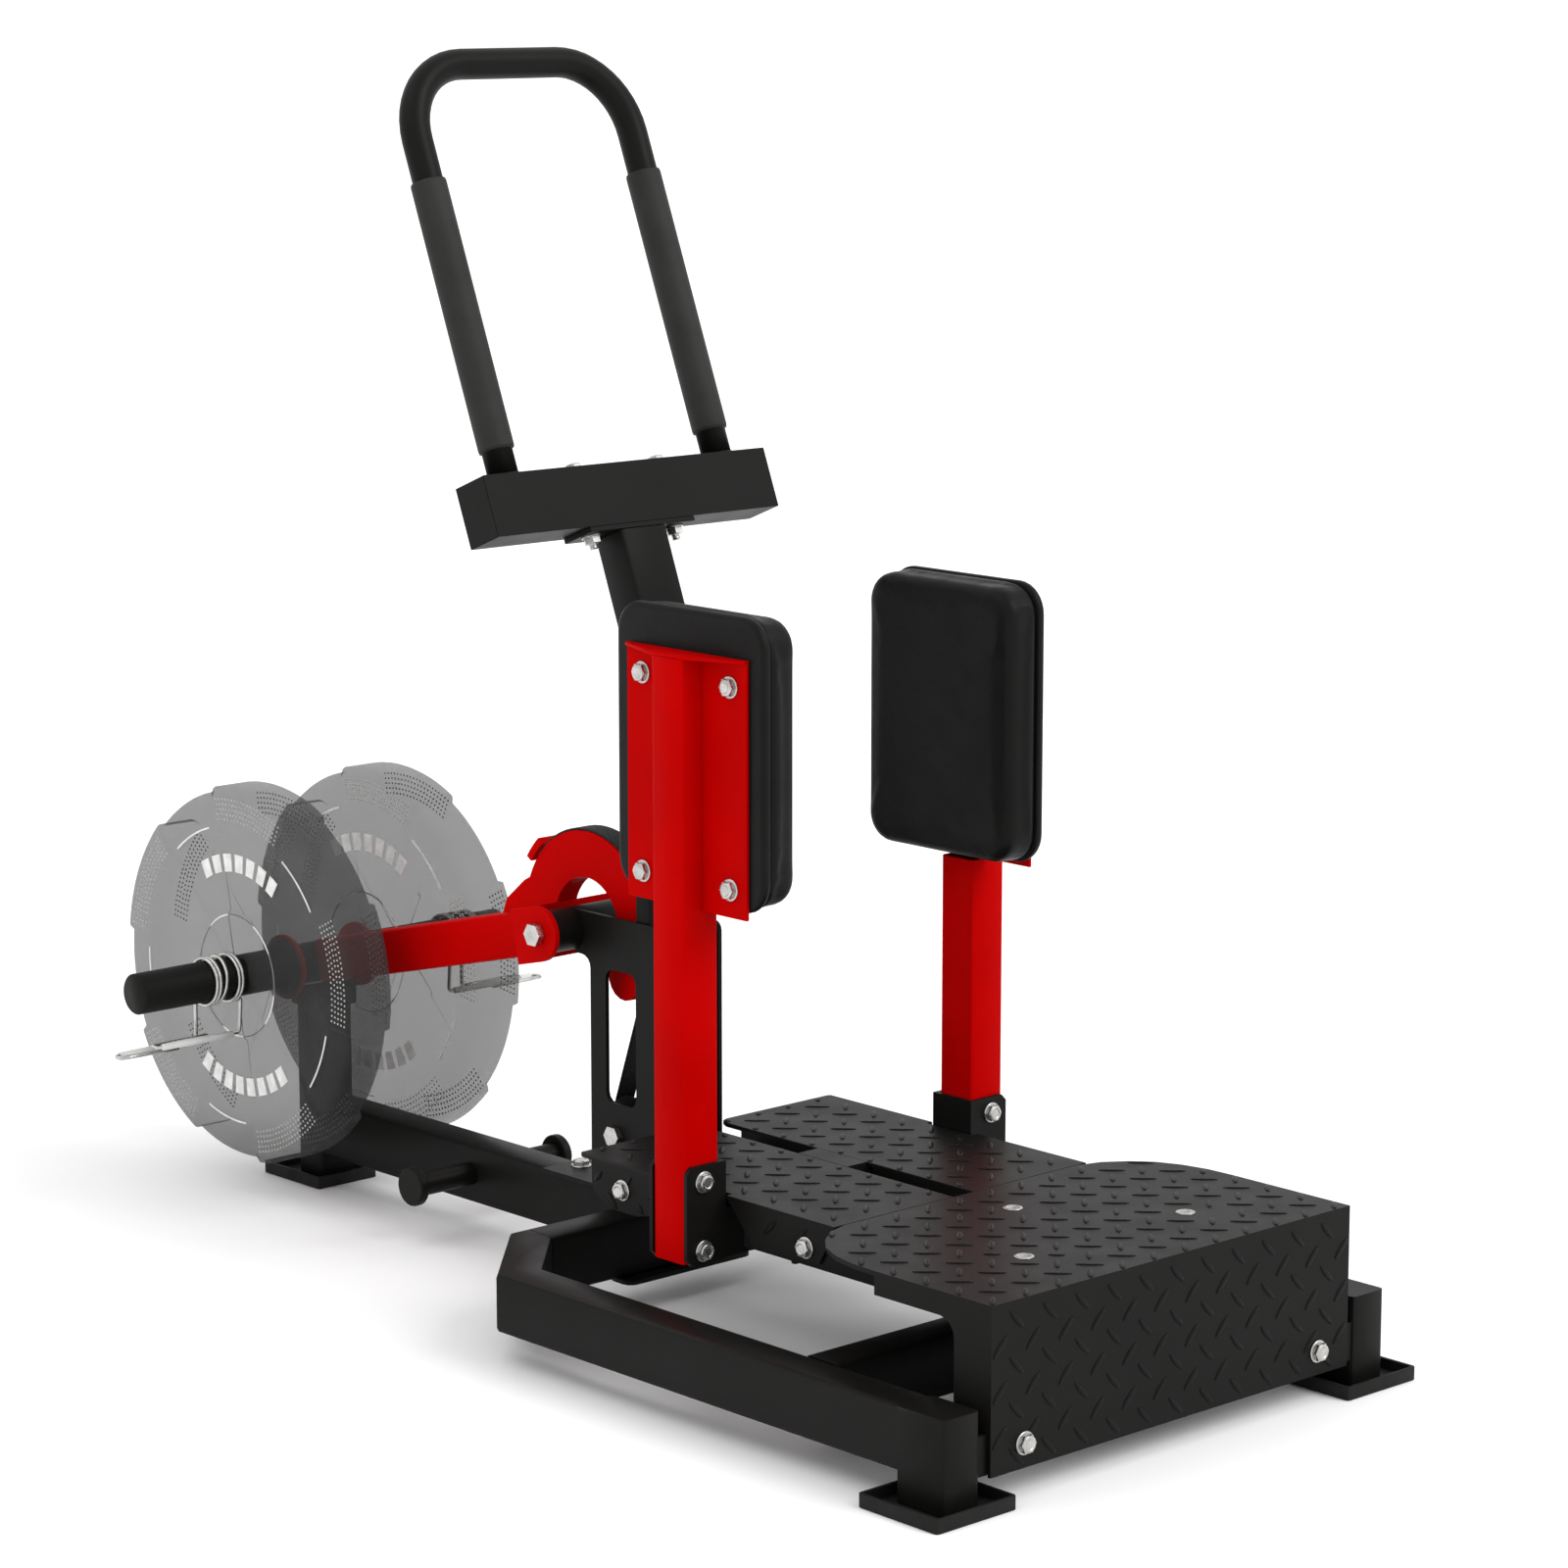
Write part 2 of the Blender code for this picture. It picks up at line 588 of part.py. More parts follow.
def build_lever():
    frame = lever_matrix()
    end = LEVER_LENGTH - SLEEVE_R - GAP
    lever = tube("lever_tube", [frame @ Vector((0, 44.0, 0)), frame @ Vector((0, end, 0))],
                 (1, 0, 0), LEVER_HEIGHT / 2.0, LEVER_WIDTH / 2.0)
    for item in (lever, lever_fork(), lever_cam(), strap_clamp()):
        set_origin(paint_as(item, RED), PIVOT)
    set_origin(paint_as(weight_sleeve(), BLACK), PIVOT)
    for label, side in (("left", -1), ("right", 1)):
        paint_as(weight_plate("weight_plate_" + label, side), GREY_RUBBER)
        paint_as(spring_collar("spring_collar_" + label, side), ZINC)


# ---------------------------------------------------------------- strap
def tangent_run(first, turn_1, second, turn_2):
    """End points of the straight run between two circles (y, z, radius); turn is 1 or -1."""
    along = (second[0] - first[0], second[1] - first[1])
    length = math.hypot(*along)
    lean = math.asin((turn_2 * second[2] - turn_1 * first[2]) / length)
    angle = math.atan2(along[1], along[0]) - lean
    normal = (-math.sin(angle), math.cos(angle))
    start = (first[0] - turn_1 * first[2] * normal[0], first[1] - turn_1 * first[2] * normal[1])
    finish = (second[0] - turn_2 * second[2] * normal[0], second[1] - turn_2 * second[2] * normal[1])
    return start, finish


def bearing(circle_place, point):
    return math.degrees(math.atan2(point[1] - circle_place[1], point[0] - circle_place[0]))


def strap():
    """Flat strap from the cam, round the lower pulley and the guide pulley, up to the yoke."""
    offset = STRAP_THICK / 2.0 + GAP
    cam = (PIVOT.y, PIVOT.z, CAM_OUT + offset)
    lower = (*LOWER_PULLEY[:2], LOWER_PULLEY[2] + offset)
    guide = (*GUIDE_PULLEY[:2], GUIDE_PULLEY[2] + offset)
    off_cam, on_lower = tangent_run(cam, 1, lower, -1)
    off_lower, on_guide = tangent_run(lower, -1, guide, -1)
    flat = arc(cam[:2], cam[2], 38.0, bearing(cam, off_cam) % 360.0, 30)
    flat += arc(lower[:2], lower[2], bearing(lower, on_lower), bearing(lower, off_lower), 14)
    flat += arc(guide[:2], guide[2], bearing(guide, on_guide), -180.0, 8)
    flat += [(guide[0] - guide[2], STRAP_TOP)]
    section = [(-STRAP_THICK / 2.0, -STRAP_HALF), (STRAP_THICK / 2.0, -STRAP_HALF),
               (STRAP_THICK / 2.0, STRAP_HALF), (-STRAP_THICK / 2.0, STRAP_HALF)]
    return sweep("strap", [(0.0, a, b) for a, b in flat], (1, 0, 0), section)


def strap_yoke():
    """Block at the strap's end that the two arm tails pull up."""
    item = box("strap_yoke", (-14.0, -12.0, STRAP_TOP + GAP), (14.0, 12.0, STRAP_TOP + 3.0))
    neck = box("yoke_neck", (-4.0, -12.0, STRAP_TOP + 2.5), (4.0, 12.0, 135.4))
    return join(item, neck)


# ---------------------------------------------------------------- arms and pads
def swing_arm(name, side):
    """Arm on its pivot: inboard tail, hub, bar and the open bracket that takes the post."""
    x0, z0 = ARM_PIVOT.x, ARM_PIVOT.z
    outline = arc((x0, z0), 24.0, 90.0, 270.0, 12)
    outline += [(100.0, ARM_Z0), (POST_IN - GAP, ARM_Z0), (POST_IN - GAP, ARM_Z1), (100.0, ARM_Z1)]
    bar = prism(name, [(side * a, b) for a, b in outline], "y", -26.0, 26.0)
    span = (-26.0, -2.0) if side < 0 else (2.0, 26.0)
    tail = [(-5.0, 140.0), (x0, 140.0), (x0, 176.0), (-5.0, 164.0)]
    tail_body = prism(name + "_tail", [(side * a, b) for a, b in tail], "y", *span)
    low, high = sorted((side * 184.3, side * (POST_IN - GAP)))
    web = box(name + "_web", (low, -30.3, ARM_Z0), (high, 30.3, 243.6))
    parts = [tail_body, web]
    for face in (-1, 1):
        near, far = sorted((face * (POST_HALF + GAP), face * 30.3))
        cheek = [(184.3, ARM_Z0), (233.0, ARM_Z0), (240.0, ARM_Z0 + 7.0), (240.0, 236.6),
                 (233.0, 243.6), (184.3, 243.6)]
        parts.append(prism(name + "_cheek", [(side * a, b) for a, b in cheek], "y", near, far))
    join(bar, *parts)
    hole = rod(name + "_hole", "y", (side * x0, z0), 10.3, -40.0, 40.0, 24)
    return cut(bar, hole)


def pad_post(name, side):
    """Square post, halved at the top so that the pad plate sits at its middle."""
    middle = side * (POST_IN + POST_OUT) / 2.0
    item = sweep(name, [(middle, 0, POST_BOTTOM), (middle, 0, POST_TOP)], (0, 1, 0),
                 round_rect(25.0, POST_HALF, 5.0), round_rect(22.0, POST_HALF - 3.0, 2.0))
    low, high = sorted((side * 180.0, side * (PAD_PLATE_X + GAP)))
    notch = box(name + "_notch", (low, -40.0, PAD_PLATE_Z[0] - GAP), (high, 40.0, 900.0))
    return cut(item, notch)


def pad_plate(name, side):
    """Bent plate behind the pad with a top cap that tapers out over the post."""
    outer, inner = PAD_PLATE_X, PAD_PLATE_X - 4.0
    low, high = sorted((side * inner, side * outer))
    item = box(name, (low, -PAD_PLATE_HALF, PAD_PLATE_Z[0]), (high, PAD_PLATE_HALF, PAD_PLATE_Z[1]))
    cap = [(inner, -PAD_PLATE_HALF), (outer + 3.0, -PAD_PLATE_HALF), (240.0, -26.0), (240.0, 26.0),
           (outer + 3.0, PAD_PLATE_HALF), (inner, PAD_PLATE_HALF)]
    top = prism(name + "_cap", [(side * a, b) for a, b in cap], "z", POST_TOP + GAP, PAD_PLATE_Z[1] + 1.0)
    return join(item, top)


def pad_board(name, side):
    """Backing board of the pad, slightly wider than the cushion."""
    outline = round_rect(PAD_HALF + 2.0, (PAD_Z[1] - PAD_Z[0]) / 2.0, 34.0, 6,
                         (0.0, (PAD_Z[0] + PAD_Z[1]) / 2.0))
    layers = [(PAD_PLATE_X - 4.0 - GAP, -2.0), (PAD_PLATE_X - 6.0, 0.0), (197.6, 0.0)]
    return layered(name, outline, (0.0, (PAD_Z[0] + PAD_Z[1]) / 2.0), side, layers)


def pad_cushion(name, side):
    """Firm cushion with a rounded face."""
    outline = round_rect(PAD_HALF, (PAD_Z[1] - PAD_Z[0]) / 2.0 - 2.0, 34.0, 6,
                         (0.0, (PAD_Z[0] + PAD_Z[1]) / 2.0))
    layers = [(197.3, -3.0), (193.0, 0.0), (PAD_FACE + 12.0, 0.0), (PAD_FACE + 6.0, -1.6),
              (PAD_FACE + 2.0, -6.0), (PAD_FACE, -14.0)]
    return layered(name, outline, (0.0, (PAD_Z[0] + PAD_Z[1]) / 2.0), side, layers)


def layered(name, outline, centre, side, layers):
    """Stack of the same outline at several x, each one inset or not."""
    verts = []
    rings = []
    half_a = max(abs(a - centre[0]) for a, _ in outline)
    half_b = max(abs(b - centre[1]) for _, b in outline)
    for x, grow in layers:
        ring = []
        for a, b in outline:
            scale_a = (half_a + grow) / half_a
            scale_b = (half_b + grow) / half_b
            point = (side * x, centre[0] + (a - centre[0]) * scale_a, centre[1] + (b - centre[1]) * scale_b)
            verts.append(point)
            ring.append(len(verts) - 1)
        rings.append(ring)
    faces = ring_faces(rings, False) + [tuple(rings[0]), tuple(rings[-1])]
    return make_object(name, verts, faces)


def build_arms():
    for label, side in (("left", -1), ("right", 1)):
        group = [paint_as(swing_arm("swing_arm_" + label, side), BLACK),
                 paint_as(pad_post("pad_post_" + label, side), RED),
                 paint_as(pad_plate("pad_plate_" + label, side), RED),
                 paint_as(pad_board("pad_board_" + label, side), VINYL),
                 paint_as(pad_cushion("pad_cushion_" + label, side), VINYL)]
        for item in group:
            set_origin(item, (side * ARM_PIVOT.x, 0.0, ARM_PIVOT.z))


# ---------------------------------------------------------------- platform and hidden supports
def pivot_bracket():
    """Two cross plates with the arm pins and the smooth bridge between the foot plates."""
    item = box("pivot_bracket", (-92.0, -39.0, 112.0), (92.0, -33.0, 201.0))
    rear = box("bracket_rear", (-92.0, 33.0, 112.0), (92.0, 39.0, 201.0))
    bridge = box("bracket_bridge", (-14.6, -39.0, 200.0), (14.6, 39.0, PLATFORM_TOP))
    pins = [rod("pin", "y", (side * ARM_PIVOT.x, ARM_PIVOT.z), 10.0, -36.0, 36.0, 24) for side in (-1, 1)]
    return join(item, rear, bridge, *pins)


def guide_bracket():
    """Open cradle on the pivot bracket that holds the guide pulley under the arms."""
    item = box("guide_bracket", (-24.0, -1.5, 88.3), (24.0, 32.7, 92.3))
    parts = []
    for side in (-1, 1):
        low, high = sorted((side * 19.0, side * 24.0))
        parts.append(box("cheek", (low, -1.5, 88.3), (high, 32.7, 132.0)))
    parts.append(rod("pin", "x", GUIDE_PULLEY[:2], 5.0, -20.0, 20.0, 24))
    return join(item, *parts)


def platform_rail(name, side):
    """Side support along the outer edge of a foot plate."""
    low, high = sorted((side * 146.0, side * 186.0))
    return box(name, (low, -358.0, RAIL_Z0), (high, -60.0, RAIL_Z1))


def platform_crossbar():
    """Bar between the side rails, on a short leg standing on the front cross member."""
    item = box("platform_crossbar", (-146.0 + GAP, -306.0, RAIL_Z0), (146.0 - GAP, -262.0, 179.5))
    leg = box("leg", (-30.0, -306.0, BASE_Z1 + GAP), (30.0, -262.0, RAIL_Z0 + 4.0))
    return join(item, leg)


def foot_plate(name, side):
    """Bent foot plate with an inner flange and two outer tabs either side of the arm."""
    low = PLATFORM_TOP - SHEET
    outline = [(PLATE_GAP, PLATE_FRONT), (PLATE_HALF, PLATE_FRONT), (PLATE_HALF, -36.0), (181.0, -36.0),
               (181.0, 36.0), (PLATE_HALF, 36.0), (PLATE_HALF, PLATE_REAR - 5.0),
               (PLATE_HALF - 1.5, PLATE_REAR - 1.5), (PLATE_HALF - 5.0, PLATE_REAR),
               (30.0, PLATE_REAR), (20.0, 202.0), (PLATE_GAP, 192.0)]
    sheet = prism(name, [(side * a, b) for a, b in outline], "z", low, PLATFORM_TOP)
    parts = []
    inner = sorted((side * PLATE_GAP, side * (PLATE_GAP + 3.0)))
    for start, finish in ((PLATE_FRONT, -48.0), (48.0, 166.0)):
        parts.append(box(name + "_flange", (inner[0], start, 180.0), (inner[1], finish, low + 2.0)))
    outer = sorted((side * (PLATE_HALF - 3.0), side * PLATE_HALF))
    front_tab = [(-37.0, 204.0), (-78.0, 159.0), (-181.0, 162.0), (-200.0, 195.0), (-200.0, 204.0)]
    rear_tab = [(60.0, 204.0), (88.0, 158.0), (110.0, 153.0), (160.0, 153.0), (182.0, 170.0), (182.0, 204.0)]
    for tab in (front_tab, rear_tab):
        parts.append(prism(name + "_tab", tab, "x", outer[0], outer[1]))
    return join(sheet, *parts)


def front_cover():
    """Tread sheet with rounded rear corners, folded down as the riser and the side skirts."""
    half = [(0.0, COVER_REAR), (175.0, COVER_REAR), (203.0, -213.0), (228.0, -231.0), (248.0, -254.0),
            (260.0, -281.0), (267.0, -312.0), (COVER_HALF, -345.0), (COVER_HALF, COVER_FRONT)]
    outline = half[1:] + [(-a, b) for a, b in reversed(half[1:])]
    low = PLATFORM_TOP - SHEET
    item = prism("platform_front_cover", outline, "z", low, PLATFORM_TOP)
    parts = [box("riser", (-COVER_HALF, COVER_FRONT, 31.0), (COVER_HALF, COVER_FRONT + 4.0, low + 2.0))]
    skirt = [(COVER_FRONT, 31.0), (-460.0, 31.0), (-460.0, 162.0)]
    skirt += arc((-440.0, 162.0), 20.0, 180.0, 90.0, 4)[1:]
    skirt += [(-346.0, 182.0), (-346.0, low + 2.0), (COVER_FRONT, low + 2.0)]
    for side in (-1, 1):
        edge = sorted((side * (COVER_HALF - 3.0), side * COVER_HALF))
        parts.append(prism("skirt", skirt, "x", edge[0], edge[1]))
    join(item, *parts)
    slot = box("lug_slot", (-280.0, COVER_FRONT + 4.0, 20.0), (280.0, -499.4, 76.0))
    return cut(item, slot)


def build_platform():
    for item in (pivot_bracket(), guide_bracket(), front_cover(), platform_crossbar()):
        paint_as(item, BLACK)
    for label, side in (("left", -1), ("right", 1)):
        paint_as(foot_plate("foot_plate_" + label, side), BLACK)
        paint_as(platform_rail("platform_rail_" + label, side), BLACK)
        low, high = sorted((side * 40.1, side * 46.1))
        paint_as(box("tie_bar_" + label, (low, 39.3, 115.0), (high, 255.0, 165.0)), BLACK)


def main():
    clear_scene()
    build_base()
    build_tower()
    build_lever()
    paint_as(strap(), WEBBING)
    yoke = paint_as(strap_yoke(), ZINC)
    set_origin(yoke, (0.0, 0.0, STRAP_TOP))
    build_arms()
    build_platform()


main()
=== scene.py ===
"""Looks for the standing abduction machine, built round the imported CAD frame."""

import math

import bmesh
import bpy
from mathutils import Matrix, Vector
from mathutils.bvhtree import BVHTree


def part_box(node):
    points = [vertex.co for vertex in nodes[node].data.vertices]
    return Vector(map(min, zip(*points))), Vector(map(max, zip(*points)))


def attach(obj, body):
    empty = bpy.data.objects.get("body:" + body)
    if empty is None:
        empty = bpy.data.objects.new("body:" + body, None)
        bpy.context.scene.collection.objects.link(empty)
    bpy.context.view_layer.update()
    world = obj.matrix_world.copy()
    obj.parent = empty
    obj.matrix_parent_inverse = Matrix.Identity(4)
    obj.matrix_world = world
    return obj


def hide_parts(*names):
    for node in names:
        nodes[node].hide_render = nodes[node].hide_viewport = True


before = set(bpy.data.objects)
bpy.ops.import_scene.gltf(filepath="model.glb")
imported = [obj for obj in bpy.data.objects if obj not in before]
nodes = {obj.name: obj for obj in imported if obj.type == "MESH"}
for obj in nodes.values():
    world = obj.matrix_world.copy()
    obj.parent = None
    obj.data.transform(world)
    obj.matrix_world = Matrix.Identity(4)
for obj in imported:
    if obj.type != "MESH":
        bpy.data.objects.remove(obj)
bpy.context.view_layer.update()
SIDES = (("left", -1), ("right", 1))


# ---------------------------------------------------------------- mesh helpers
def low(name):
    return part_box(name)[0]


def high(name):
    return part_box(name)[1]


def middle(name):
    return (low(name) + high(name)) / 2.0


def new_object(name, mesh_maker, material, smooth=True):
    """Link an object made by a function that fills a bmesh."""
    work = bmesh.new()
    mesh_maker(work)
    bmesh.ops.recalc_face_normals(work, faces=work.faces)
    mesh = bpy.data.meshes.new(name)
    work.to_mesh(mesh)
    work.free()
    mesh.polygons.foreach_set("use_smooth", [smooth] * len(mesh.polygons))
    mesh.materials.append(material)
    item = bpy.data.objects.new(name, mesh)
    bpy.context.scene.collection.objects.link(item)
    return item


def add_rings(work, rings, closed=False):
    """Faces between rings of points; a closed set joins the last ring to the first, others get end caps."""
    made = [[work.verts.new(point) for point in ring] for ring in rings]
    pairs = list(zip(made, made[1:]))
    if closed:
        pairs.append((made[-1], made[0]))
    for first, second in pairs:
        count = len(first)
        for i in range(count):
            j = (i + 1) % count
            work.faces.new((first[i], first[j], second[j], second[i]))
    if not closed:
        work.faces.new(made[0])
        work.faces.new(made[-1])


def turn_to(direction):
    """Matrix that turns +Z to a direction."""
    return Vector(direction).to_track_quat("Z", "Y").to_matrix().to_4x4()


def circle_points(matrix, radius, height, sides, phase=0.0):
    points = []
    for i in range(sides):
        angle = phase + 2.0 * math.pi * i / sides
        points.append(matrix @ Vector((radius * math.cos(angle), radius * math.sin(angle), height)))
    return points


def add_turned(work, matrix, profile, sides=32):
    """Turned solid on the matrix's Z axis from (radius, height) points."""
    add_rings(work, [circle_points(matrix, radius, height, sides) for radius, height in profile])


def add_tube(work, path, radius, sides):
    """Round tube along a path of points."""
    tangent = (path[1] - path[0]).normalized()
    side = tangent.orthogonal().normalized()
    rings = []
    for i, point in enumerate(path):
        ahead = (path[min(i + 1, len(path) - 1)] - path[max(i - 1, 0)]).normalized()
        side = (tangent.rotation_difference(ahead) @ side).normalized()
        tangent = ahead
        other = tangent.cross(side)
        ring = []
        for k in range(sides):
            angle = 2.0 * math.pi * k / sides
            ring.append(point + (side * math.cos(angle) + other * math.sin(angle)) * radius)
        rings.append(ring)
    add_rings(work, rings)


def add_bolt(work, place, outward, radius):
    """Washer and domed hexagon head standing on a face."""
    matrix = Matrix.Translation(place) @ turn_to(outward)
    washer = [(radius, 0.0), (radius, radius * 0.10), (radius * 0.94, radius * 0.16),
              (radius * 0.70, radius * 0.17)]
    add_turned(work, matrix, washer, 28)
    base = radius * 0.165
    head = radius * 0.84
    add_rings(work, [circle_points(matrix, head, base, 6), circle_points(matrix, head, radius * 0.56, 6)])
    crown = [(radius * 0.76, radius * 0.53), (radius * 0.70, radius * 0.63), (radius * 0.50, radius * 0.68),
             (radius * 0.42, radius * 0.62)]
    add_turned(work, matrix, crown, 24)


def add_nut(work, place, outward, radius):
    """Washer, hexagon nut and the threaded end of its bolt."""
    matrix = Matrix.Translation(place) @ turn_to(outward)
    add_turned(work, matrix, [(radius, 0.0), (radius, radius * 0.14), (radius * 0.6, radius * 0.15)], 28)
    base = radius * 0.14
    nut = radius * 0.86
    add_rings(work, [circle_points(matrix, nut, base, 6), circle_points(matrix, nut, radius * 0.8, 6)])
    stub = [(radius * 0.42, radius * 0.7)]
    for i in range(5):
        height = radius * (0.85 + 0.1 * i)
        stub += [(radius * 0.42, height), (radius * 0.38, height + radius * 0.05)]
    stub.append((radius * 0.32, radius * 1.36))
    add_turned(work, matrix, stub, 20)


def bolts(name, places, outward, radius, body, shape=add_bolt):
    """One piece holding several bolt heads or nuts that face the same way."""
    def make(work):
        for place in places:
            shape(work, Vector(place), outward, radius)
    item = new_object(name, make, MATERIALS["zinc"])
    bevel_edges(item, 0.0004, 30.0)
    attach(item, body)
    return item


def bevel_edges(item, width, angle=32.0, segments=2):
    """Small rounded edges, so that they catch the light."""
    weld = item.modifiers.new("weld", "WELD")
    weld.merge_threshold = 0.00001
    bevel = item.modifiers.new("bevel", "BEVEL")
    bevel.width = width
    bevel.segments = segments
    bevel.limit_method = "ANGLE"
    bevel.angle_limit = math.radians(angle)
    bevel.harden_normals = True
    bevel.miter_outer = "MITER_ARC"


# ---------------------------------------------------------------- materials
def start_material(name, colour, metallic, roughness, gloss=0.5):
    material = bpy.data.materials.new(name)
    material.use_nodes = True
    tree = material.node_tree
    shader = tree.nodes["Principled BSDF"]
    shader.inputs["Base Color"].default_value = (*colour, 1.0)
    shader.inputs["Metallic"].default_value = metallic
    shader.inputs["Roughness"].default_value = roughness
    shader.inputs["Specular IOR Level"].default_value = gloss
    place = tree.nodes.new("ShaderNodeTexCoord")
    return material, tree, shader, place


def noise(tree, place, scale, detail=3.0, stretch=None):
    """Noise in the object's own coordinates, optionally stretched."""
    node = tree.nodes.new("ShaderNodeTexNoise")
    node.inputs["Scale"].default_value = scale
    node.inputs["Detail"].default_value = detail
    if stretch is None:
        tree.links.new(place.outputs["Object"], node.inputs["Vector"])
    else:
        mapping = tree.nodes.new("ShaderNodeMapping")
        mapping.inputs["Scale"].default_value = stretch
        tree.links.new(place.outputs["Object"], mapping.inputs["Vector"])
        tree.links.new(mapping.outputs["Vector"], node.inputs["Vector"])
    return node.outputs["Fac"]


def vary_colour(tree, shader, factor, dark, light, start=0.35, stop=0.65):
    ramp = tree.nodes.new("ShaderNodeValToRGB")
    ramp.color_ramp.elements[0].position = start
    ramp.color_ramp.elements[0].color = (*dark, 1.0)
    ramp.color_ramp.elements[1].position = stop
    ramp.color_ramp.elements[1].color = (*light, 1.0)
    tree.links.new(factor, ramp.inputs["Fac"])
    tree.links.new(ramp.outputs["Color"], shader.inputs["Base Color"])


def vary_roughness(tree, shader, factor, least, most):
    span = tree.nodes.new("ShaderNodeMapRange")
    span.inputs["From Min"].default_value = 0.3
    span.inputs["From Max"].default_value = 0.7
    span.inputs["To Min"].default_value = least
    span.inputs["To Max"].default_value = most
    tree.links.new(factor, span.inputs["Value"])
    tree.links.new(span.outputs["Result"], shader.inputs["Roughness"])


def add_bump(tree, shader, height, strength, distance):
    bump = tree.nodes.new("ShaderNodeBump")
    bump.inputs["Strength"].default_value = strength
    bump.inputs["Distance"].default_value = distance
    tree.links.new(height, bump.inputs["Height"])
    tree.links.new(bump.outputs["Normal"], shader.inputs["Normal"])


def tint(colour, factor):
    return tuple(min(1.0, part * factor) for part in colour)


def powder_coat(name, colour, roughness, gloss, grain):
    """Powder coat: faint orange peel, slow colour drift and handling marks in the gloss."""
    material, tree, shader, place = start_material(name, colour, 0.0, roughness, gloss)
    vary_colour(tree, shader, noise(tree, place, 7.0, 4.0), tint(colour, 0.93), tint(colour, 1.08))
    vary_roughness(tree, shader, noise(tree, place, 22.0, 5.0), roughness - 0.025, roughness + 0.035)
    add_bump(tree, shader, noise(tree, place, 900.0, 2.0), grain, 0.0004)
    return material


def zinc_plate():
    """Bright zinc with a faint directional finish."""
    colour = (0.50, 0.495, 0.48)
    material, tree, shader, place = start_material("zinc", colour, 1.0, 0.3)
    vary_colour(tree, shader, noise(tree, place, 60.0, 4.0), tint(colour, 0.85), tint(colour, 1.12))
    vary_roughness(tree, shader, noise(tree, place, 300.0, 3.0, (1.0, 1.0, 6.0)), 0.2, 0.4)
    add_bump(tree, shader, noise(tree, place, 1500.0, 2.0), 0.05, 0.0002)
    return material


def vinyl():
    """Upholstery vinyl: pebbled grain with soft creases in the gloss."""
    colour = (0.0046, 0.0044, 0.0042)
    material, tree, shader, place = start_material("vinyl", colour, 0.0, 0.4, 0.09)
    shader.inputs["Sheen Weight"].default_value = 0.01
    vary_colour(tree, shader, noise(tree, place, 9.0, 3.0), tint(colour, 0.85), tint(colour, 1.2))
    vary_roughness(tree, shader, noise(tree, place, 30.0, 4.0), 0.34, 0.48)
    pebble = tree.nodes.new("ShaderNodeTexVoronoi")
    pebble.inputs["Scale"].default_value = 620.0
    tree.links.new(place.outputs["Object"], pebble.inputs["Vector"])
    add_bump(tree, shader, pebble.outputs["Distance"], 0.22, 0.0006)
    return material


def foam():
    """Closed-cell foam grip with fine pores."""
    colour = (0.013, 0.013, 0.0122)
    material, tree, shader, place = start_material("foam", colour, 0.0, 0.6, 0.22)
    vary_colour(tree, shader, noise(tree, place, 15.0, 4.0), tint(colour, 0.8), tint(colour, 1.3))
    pores = tree.nodes.new("ShaderNodeTexVoronoi")
    pores.inputs["Scale"].default_value = 900.0
    tree.links.new(place.outputs["Object"], pores.inputs["Vector"])
    add_bump(tree, shader, pores.outputs["Distance"], 0.35, 0.0007)
    return material


def rubber(name, colour, roughness=0.72):
    """Moulded rubber with a dusty, slightly uneven skin."""
    material, tree, shader, place = start_material(name, colour, 0.0, roughness, 0.2)
    vary_colour(tree, shader, noise(tree, place, 12.0, 5.0), tint(colour, 0.85), tint(colour, 1.25))
    vary_roughness(tree, shader, noise(tree, place, 40.0, 4.0), roughness - 0.1, roughness + 0.1)
    add_bump(tree, shader, noise(tree, place, 420.0, 4.0), 0.2, 0.0005)
    return material


def webbing():
    """Woven strap: ribs across its width with an uneven yarn colour."""
    colour = (0.012, 0.012, 0.012)
    material, tree, shader, place = start_material("webbing", colour, 0.0, 0.75, 0.2)
    vary_colour(tree, shader, noise(tree, place, 260.0, 4.0), tint(colour, 0.6), tint(colour, 1.7))
    weave = tree.nodes.new("ShaderNodeTexWave")
    weave.bands_direction = "X"
    weave.inputs["Scale"].default_value = 170.0
    weave.inputs["Distortion"].default_value = 1.5
    weave.inputs["Detail"].default_value = 2.0
    tree.links.new(place.outputs["Object"], weave.inputs["Vector"])
    add_bump(tree, shader, weave.outputs["Fac"], 0.5, 0.0006)
    return material


def ghost_rubber():
    """Grey plate rubber, half see-through as the plates are shown."""
    colour = (0.036, 0.036, 0.0355)
    material, tree, shader, place = start_material("ghost_rubber", colour, 0.0, 0.45, 0.15)
    shader.inputs["Alpha"].default_value = 0.55
    vary_colour(tree, shader, noise(tree, place, 14.0, 4.0), tint(colour, 0.9), tint(colour, 1.12))
    vary_roughness(tree, shader, noise(tree, place, 60.0, 4.0), 0.42, 0.6)
    add_bump(tree, shader, noise(tree, place, 500.0, 3.0), 0.12, 0.0004)
    return material


def pale_print(name, colour):
    """Worn pale ink and moulded marks on the plates."""
    material, tree, shader, place = start_material(name, colour, 0.0, 0.5, 0.2)
    vary_colour(tree, shader, noise(tree, place, 90.0, 5.0), tint(colour, 0.86), tint(colour, 1.08))
    add_bump(tree, shader, noise(tree, place, 700.0, 3.0), 0.1, 0.0002)
    return material


